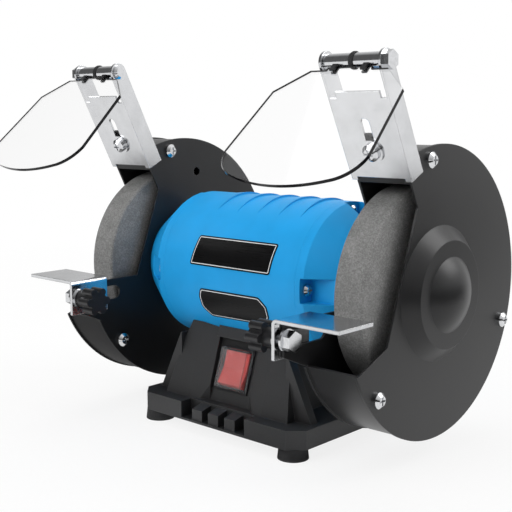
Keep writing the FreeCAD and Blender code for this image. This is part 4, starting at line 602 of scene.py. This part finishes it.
class OBJECT_OT_grinder_plates(bpy.types.Operator):
    """Adds the two bare plates on the front of the motor's shell"""

    bl_idname = "object.grinder_plates"
    bl_label = "Bare plates"

    # A corner is a place along the shaft in millimetres and an angle above the shaft in degrees,
    # seen from the front.
    OUTLINES = {
        "upper_plate": ((-31.9, 7.8), (36.6, 7.8), (38.9, 30.5), (-28.1, 30.5)),
        "lower_plate": ((-18.5, -32.8), (28.6, -31.8), (33.4, -24.4), (33.4, -15.6),
                        (27.6, -9.2), (-22.6, -9.4), (-25.0, -15.4), (-24.6, -25.2)),
    }
    CORNER_SEGMENTS = 4

    # A plate is cut into strips this wide before it is wrapped round the shell.
    STRIP = 1.5 * MM

    def execute(self, context):
        colours, sizes = chosen(context)
        lacquer = lacquered_foil("black", colours.plate, roughness=0.24)
        line = lacquered_foil("bare line", colours.plate_line, roughness=0.35)
        for name, outline in self.OUTLINES.items():
            flat = bmesh.new()
            flat.faces.new([flat.verts.new((along * MM, radians(angle) * SHELL_RADIUS, 0))
                            for along, angle in outline])
            bmesh.ops.bevel(flat, geom=flat.verts[:], affect="VERTICES", offset=sizes.plate_corner,
                            segments=self.CORNER_SEGMENTS, profile=0.5, material=-1)
            flat.normal_update()
            middle = flat.faces[:]
            bmesh.ops.inset_region(flat, faces=middle, thickness=sizes.line_inset,
                                   use_boundary=True, use_even_offset=True)
            ring = bmesh.ops.inset_region(flat, faces=middle, thickness=sizes.line_width,
                                          use_even_offset=True)
            for face in ring["faces"]:
                face.material_index = 1
            self.bend(flat, sizes.plate_thickness)
            plate = new_piece(context.scene, name, flat, lacquer, line)
            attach(plate, "frame")
        return {"FINISHED"}

    def bend(self, flat, thickness):
        """Gives the flat plate its thickness and wraps it round the shell."""
        heights = [vert.co.y for vert in flat.verts]
        cut = min(heights) + self.STRIP
        while cut < max(heights):
            bmesh.ops.bisect_plane(flat, geom=flat.verts[:] + flat.edges[:] + flat.faces[:],
                                   plane_co=(0, cut, 0), plane_no=(0, 1, 0))
            cut += self.STRIP
        bmesh.ops.solidify(flat, geom=flat.faces[:], thickness=-thickness)
        for vert in flat.verts:
            along, round_shell, out = vert.co
            angle = round_shell / SHELL_RADIUS
            radius = SHELL_RADIUS + out
            vert.co = SHAFT + Vector((along, -radius * cos(angle), radius * sin(angle)))
        bmesh.ops.recalc_face_normals(flat, faces=flat.faces[:])


class OBJECT_OT_grinder_guards(bpy.types.Operator):
    """Dresses the wheel guards and their covers"""

    bl_idname = "object.grinder_guards"
    bl_label = "Wheel guards"

    def execute(self, context):
        colours, sizes = chosen(context)
        dress(powder_coat(colours, sizes), *both("guard", "guard_cover"))
        return {"FINISHED"}


class OBJECT_OT_grinder_wheels(bpy.types.Operator):
    """Dresses the grinding wheels with their flanges, nuts and paper, the shaft and its bearings"""

    bl_idname = "object.grinder_wheels"
    bl_label = "Wheels and shaft"

    def execute(self, context):
        colours = context.scene.grinder_colours
        dress(vitrified_abrasive(colours), *both("grinding_wheel"))
        dress(turned_steel(colours), "shaft",
              *both("inner_flange", "outer_flange", "wheel_nut", "bearing"))
        dress(blotting_paper(), "blotters")
        return {"FINISHED"}


class OBJECT_OT_grinder_spark_guards(bpy.types.Operator):
    """Dresses the two spark guards"""

    bl_idname = "object.grinder_spark_guards"
    bl_label = "Spark guards"

    def execute(self, context):
        colours, sizes = chosen(context)
        dress(zinc_plate("spark guards", colours, sizes), *both("spark_guard"))
        return {"FINISHED"}


class OBJECT_OT_grinder_eye_shields(bpy.types.Operator):
    """Dresses the clear eye shields with their rods, sleeves, clips and friction rings"""

    bl_idname = "object.grinder_eye_shields"
    bl_label = "Eye shields"

    def execute(self, context):
        colours, sizes = chosen(context)
        for side in SIDES:
            dress(clear_shield(side), "eye_shield_" + side)
        dress(bright_plate("rods", colours), *both("shield_rod", "shield_sleeves"))
        dress(small_plastic("clips", colours, sizes), *both("shield_clips"))
        dress(black_rubber("rings", colours), *both("friction_ring"))
        return {"FINISHED"}


class OBJECT_OT_grinder_tool_rests(bpy.types.Operator):
    """Dresses the tool rests with their bolts and knobs"""

    bl_idname = "object.grinder_tool_rests"
    bl_label = "Tool rests"

    def execute(self, context):
        colours, sizes = chosen(context)
        dress(zinc_plate("tool rests", colours, sizes), *both("tool_rest"))
        dress(bright_plate("bolts", colours), *both("rest_bolt"))
        dress(small_plastic("knobs", colours, sizes), *both("rest_knob"))
        return {"FINISHED"}


class OBJECT_OT_grinder_fasteners(bpy.types.Operator):
    """Dresses the screws, through bolts, nuts and washers"""

    bl_idname = "object.grinder_fasteners"
    bl_label = "Fasteners"

    def execute(self, context):
        dress(bright_plate("screws", context.scene.grinder_colours), "bottom_screws", "foot_screws",
              "through_bolts", "through_bolt_nuts", "cover_screws", "guard_screws", "post_screws",
              "spark_screws", "spark_washers")
        return {"FINISHED"}


class OBJECT_OT_grinder_stage(bpy.types.Operator):
    """Sets up the white floor, the soft studio light and the camera"""

    bl_idname = "object.grinder_stage"
    bl_label = "Stage"

    # Soft boxes: name, place and width in metres, power in watts, and whether gloss mirrors them.
    LAMPS = (
        ("key", (1.1, 0.9, 1.2), 1.0, 12.0, True),
        ("front", (-0.5, -1.6, 1.1), 1.4, 14.0, False),
        ("top", (-0.3, 0.1, 1.6), 1.2, 9.0, False),
    )

    # Cards that gloss alone sees, which paint reflections: a dark flag at the side, and grey sheets
    # on the floor that paint the floor's shade under the machine into what the guards and base
    # mirror.
    # Columns: name, tone, length along X, width along Y and place in metres, and the degrees by
    # which a card is turned about the Y axis before it is put in place.
    CARDS = (
        ("side_card", "0D0D0D", (0.13, 1.2), (0.45, 0.0, 0.065), 90),
        ("left_card", "9C9C9C", (0.26, 0.4), (-0.23, 0.05, 0.001), 0),
        ("right_card", "9C9C9C", (0.096, 0.25), (0.028, -0.025, 0.001), 0),
    )

    # A card starts as a square of 1 m, which a grid's size is half of.
    HALF_SQUARE = 0.5

    FLOOR_RADIUS = 6.0
    FLOOR_SEGMENTS = 96

    # Two distances from the part in metres, and the share of the floor that is plain white there.
    SHADOW_REACH = (0.2, 1.0)
    SHADOW_COVER = (0.84, 1.0)

    # What gloss sees of the studio: the way to its bright side, the dot products with that way
    # between which it brightens, and its strength on the dark and on the bright side. Diffuse rays
    # see one even strength.
    BRIGHT_SIDE = (0.45, 0.85, 0.25)
    BRIGHT_FADE = (-0.3, 0.6)
    BRIGHTNESS = (0.12, 1.0)
    EVEN_LIGHT = 0.45

    # The photograph's own view: three quarters from the right, a little above the motor. The place
    # is in metres, and the dip below level and the turn about Z are in degrees.
    CAMERA_PLACE = (0.4141, -0.4741, 0.2017)
    CAMERA_DIP = 8.25
    CAMERA_TURN = 42.4
    CAMERA_LENS = 67.47
    CAMERA_SENSOR = 36.0

    def execute(self, context):
        scene = context.scene
        self.floor(scene)
        self.cards(scene)
        self.sky(scene)
        self.lamps(scene)
        self.camera(scene)
        scene.view_settings.view_transform = "Standard"
        return {"FINISHED"}

    def floor(self, scene):
        # Seamless white paper with fibres of 3 mm: white to the camera and in reflections, yet a
        # soft shadow stays near the feet.
        made, tree, shader, where = new_finish("white paper")
        fibres = add(tree, "TexNoise", {"Vector": where, "Scale": 1 / (3 * MM), "Detail": 2.0})
        fill(tree, shader, {
            "Base Color": add(tree, "ValToRGB", {"Fac": fibres}, stops=(
                (0.3, toned(linear("F4F4F4"))), (0.7, toned(linear("F8F8F8"))))),
            "Roughness": 0.9,
            "Specular IOR Level": 0.0,
        })
        path = add(tree, "LightPath")
        mirrored = add(tree, "Math", {
            0: path.outputs["Is Glossy Ray"], 1: path.outputs["Is Transmission Ray"]},
            operation="MAXIMUM")
        shown = add(tree, "Math", {0: mirrored, 1: path.outputs["Is Camera Ray"]},
                    operation="MAXIMUM")
        far = add(tree, "VectorMath", {0: where}, operation="LENGTH")
        near, distant = self.SHADOW_REACH
        least, most = self.SHADOW_COVER
        cover = add(tree, "MapRange", {
            "Value": far.outputs["Value"], "From Min": near, "From Max": distant,
            "To Min": least, "To Max": most})
        share = add(tree, "Math", {0: shown, 1: cover}, operation="MULTIPLY")
        white = add(tree, "Emission", {"Color": WHITE, "Strength": 1.0})
        paper = add(tree, "MixShader", {0: share, 1: shader, 2: white})
        fill(tree, tree.nodes["Material Output"], {"Surface": paper})
        sheet = bmesh.new()
        bmesh.ops.create_circle(sheet, cap_ends=True, segments=self.FLOOR_SEGMENTS,
                                radius=self.FLOOR_RADIUS)
        floor = new_piece(scene, "floor", sheet, made)

    def cards(self, scene):
        # Painted reflections: matt cards with a tone that varies in patches of 4 mm, seen by gloss
        # alone.
        for name, tone, (length, width), place, turn in self.CARDS:
            made, tree, shader, where = new_finish("painted_reflection, " + name)
            mottle = add(tree, "TexNoise", {"Vector": where, "Scale": 1 / (4 * MM), "Detail": 2.0})
            fill(tree, shader, {
                "Base Color": add(tree, "ValToRGB", {"Fac": mottle}, stops=(
                    (0.3, toned(linear(tone), 0.8)), (0.7, toned(linear(tone), 1.2)))),
                "Roughness": 1.0,
                "Specular IOR Level": 0.0,
            })
            sheet = bmesh.new()
            bmesh.ops.create_grid(sheet, x_segments=1, y_segments=1, size=self.HALF_SQUARE)
            bmesh.ops.scale(sheet, vec=(length, width, 1.0), verts=sheet.verts)
            turned = Matrix.Rotation(radians(turn), 3, "Y")
            bmesh.ops.rotate(sheet, matrix=turned, verts=sheet.verts)
            bmesh.ops.translate(sheet, vec=place, verts=sheet.verts)
            card = new_piece(scene, name, sheet, made)
            # Only gloss sees the card, so it paints a reflection, and on the floor the floor's
            # shade.
            card.visible_camera = card.visible_diffuse = False
            card.visible_shadow = card.visible_transmission = False

    def sky(self, scene):
        # White to the camera and through glass. Gloss sees a studio that is dark in front and
        # bright behind.
        world = bpy.data.worlds.new("studio")
        world.use_nodes = True
        scene.world = world
        tree = world.node_tree
        path = add(tree, "LightPath")
        facing = add(tree, "VectorMath", {
            0: add(tree, "TexCoord").outputs["Generated"], 1: self.BRIGHT_SIDE},
            operation="DOT_PRODUCT")
        dark_at, bright_at = self.BRIGHT_FADE
        dark, bright = self.BRIGHTNESS
        dimmer = add(tree, "MapRange", {
            "Value": facing.outputs["Value"], "From Min": dark_at, "From Max": bright_at,
            "To Min": dark, "To Max": bright})
        plain = add(tree, "Background", {"Color": WHITE, "Strength": self.EVEN_LIGHT})
        mirrored = add(tree, "Background", {"Color": WHITE, "Strength": dimmer})
        white = add(tree, "Background", {"Color": WHITE, "Strength": 1.0})
        seen = add(tree, "Math", {
            0: path.outputs["Is Camera Ray"], 1: path.outputs["Is Transmission Ray"]},
            operation="MAXIMUM")
        lit = add(tree, "MixShader", {0: path.outputs["Is Glossy Ray"], 1: plain, 2: mirrored})
        sky = add(tree, "MixShader", {0: seen, 1: lit, 2: white})
        fill(tree, tree.nodes["World Output"], {"Surface": sky})

    def lamps(self, scene):
        for name, place, width, power, glossy in self.LAMPS:
            lamp = bpy.data.lights.new(name, "AREA")
            lamp.size = width
            lamp.energy = power
            holder = bpy.data.objects.new(name, lamp)
            holder.location = place
            holder.rotation_euler = (SHAFT - Vector(place)).to_track_quat("-Z", "Y").to_euler()
            holder.visible_glossy = glossy
            scene.collection.objects.link(holder)

    def camera(self, scene):
        lens = bpy.data.cameras.new("camera")
        lens.sensor_width = self.CAMERA_SENSOR
        lens.lens = self.CAMERA_LENS
        camera = bpy.data.objects.new("camera", lens)
        camera.location = self.CAMERA_PLACE
        camera.rotation_euler = (radians(90 - self.CAMERA_DIP), 0, radians(self.CAMERA_TURN))
        scene.collection.objects.link(camera)
        scene.camera = camera


STEPS = (
    OBJECT_OT_grinder_base,
    OBJECT_OT_grinder_feet,
    OBJECT_OT_grinder_switch,
    OBJECT_OT_grinder_motor,
    OBJECT_OT_grinder_plates,
    OBJECT_OT_grinder_guards,
    OBJECT_OT_grinder_wheels,
    OBJECT_OT_grinder_spark_guards,
    OBJECT_OT_grinder_eye_shields,
    OBJECT_OT_grinder_tool_rests,
    OBJECT_OT_grinder_fasteners,
    OBJECT_OT_grinder_stage,
)


class VIEW3D_PT_grinder(bpy.types.Panel):
    """Lists the grinder's colours, sizes and steps in the sidebar"""

    bl_label = "Bench grinder"
    bl_space_type = "VIEW_3D"
    bl_region_type = "UI"
    bl_category = "Grinder"

    def draw(self, context):
        for name in GrinderColours.__annotations__:
            self.layout.prop(context.scene.grinder_colours, name)
        for name in GrinderSizes.__annotations__:
            self.layout.prop(context.scene.grinder_sizes, name)
        for step in STEPS:
            self.layout.operator(step.bl_idname)


CLASSES = (GrinderColours, GrinderSizes, *STEPS, VIEW3D_PT_grinder)


def register():
    for item in CLASSES:
        bpy.utils.register_class(item)
    bpy.types.Scene.grinder_colours = bpy.props.PointerProperty(type=GrinderColours)
    bpy.types.Scene.grinder_sizes = bpy.props.PointerProperty(type=GrinderSizes)


def unregister():
    del bpy.types.Scene.grinder_sizes
    del bpy.types.Scene.grinder_colours
    for item in reversed(CLASSES):
        bpy.utils.unregister_class(item)


def main():
    register()
    bpy.ops.object.grinder_base()
    bpy.ops.object.grinder_feet()
    bpy.ops.object.grinder_switch()
    bpy.ops.object.grinder_motor()
    bpy.ops.object.grinder_plates()
    bpy.ops.object.grinder_guards()
    bpy.ops.object.grinder_wheels()
    bpy.ops.object.grinder_spark_guards()
    bpy.ops.object.grinder_eye_shields()
    bpy.ops.object.grinder_tool_rests()
    bpy.ops.object.grinder_fasteners()
    bpy.ops.object.grinder_stage()


if __name__ == "__main__":
    main()
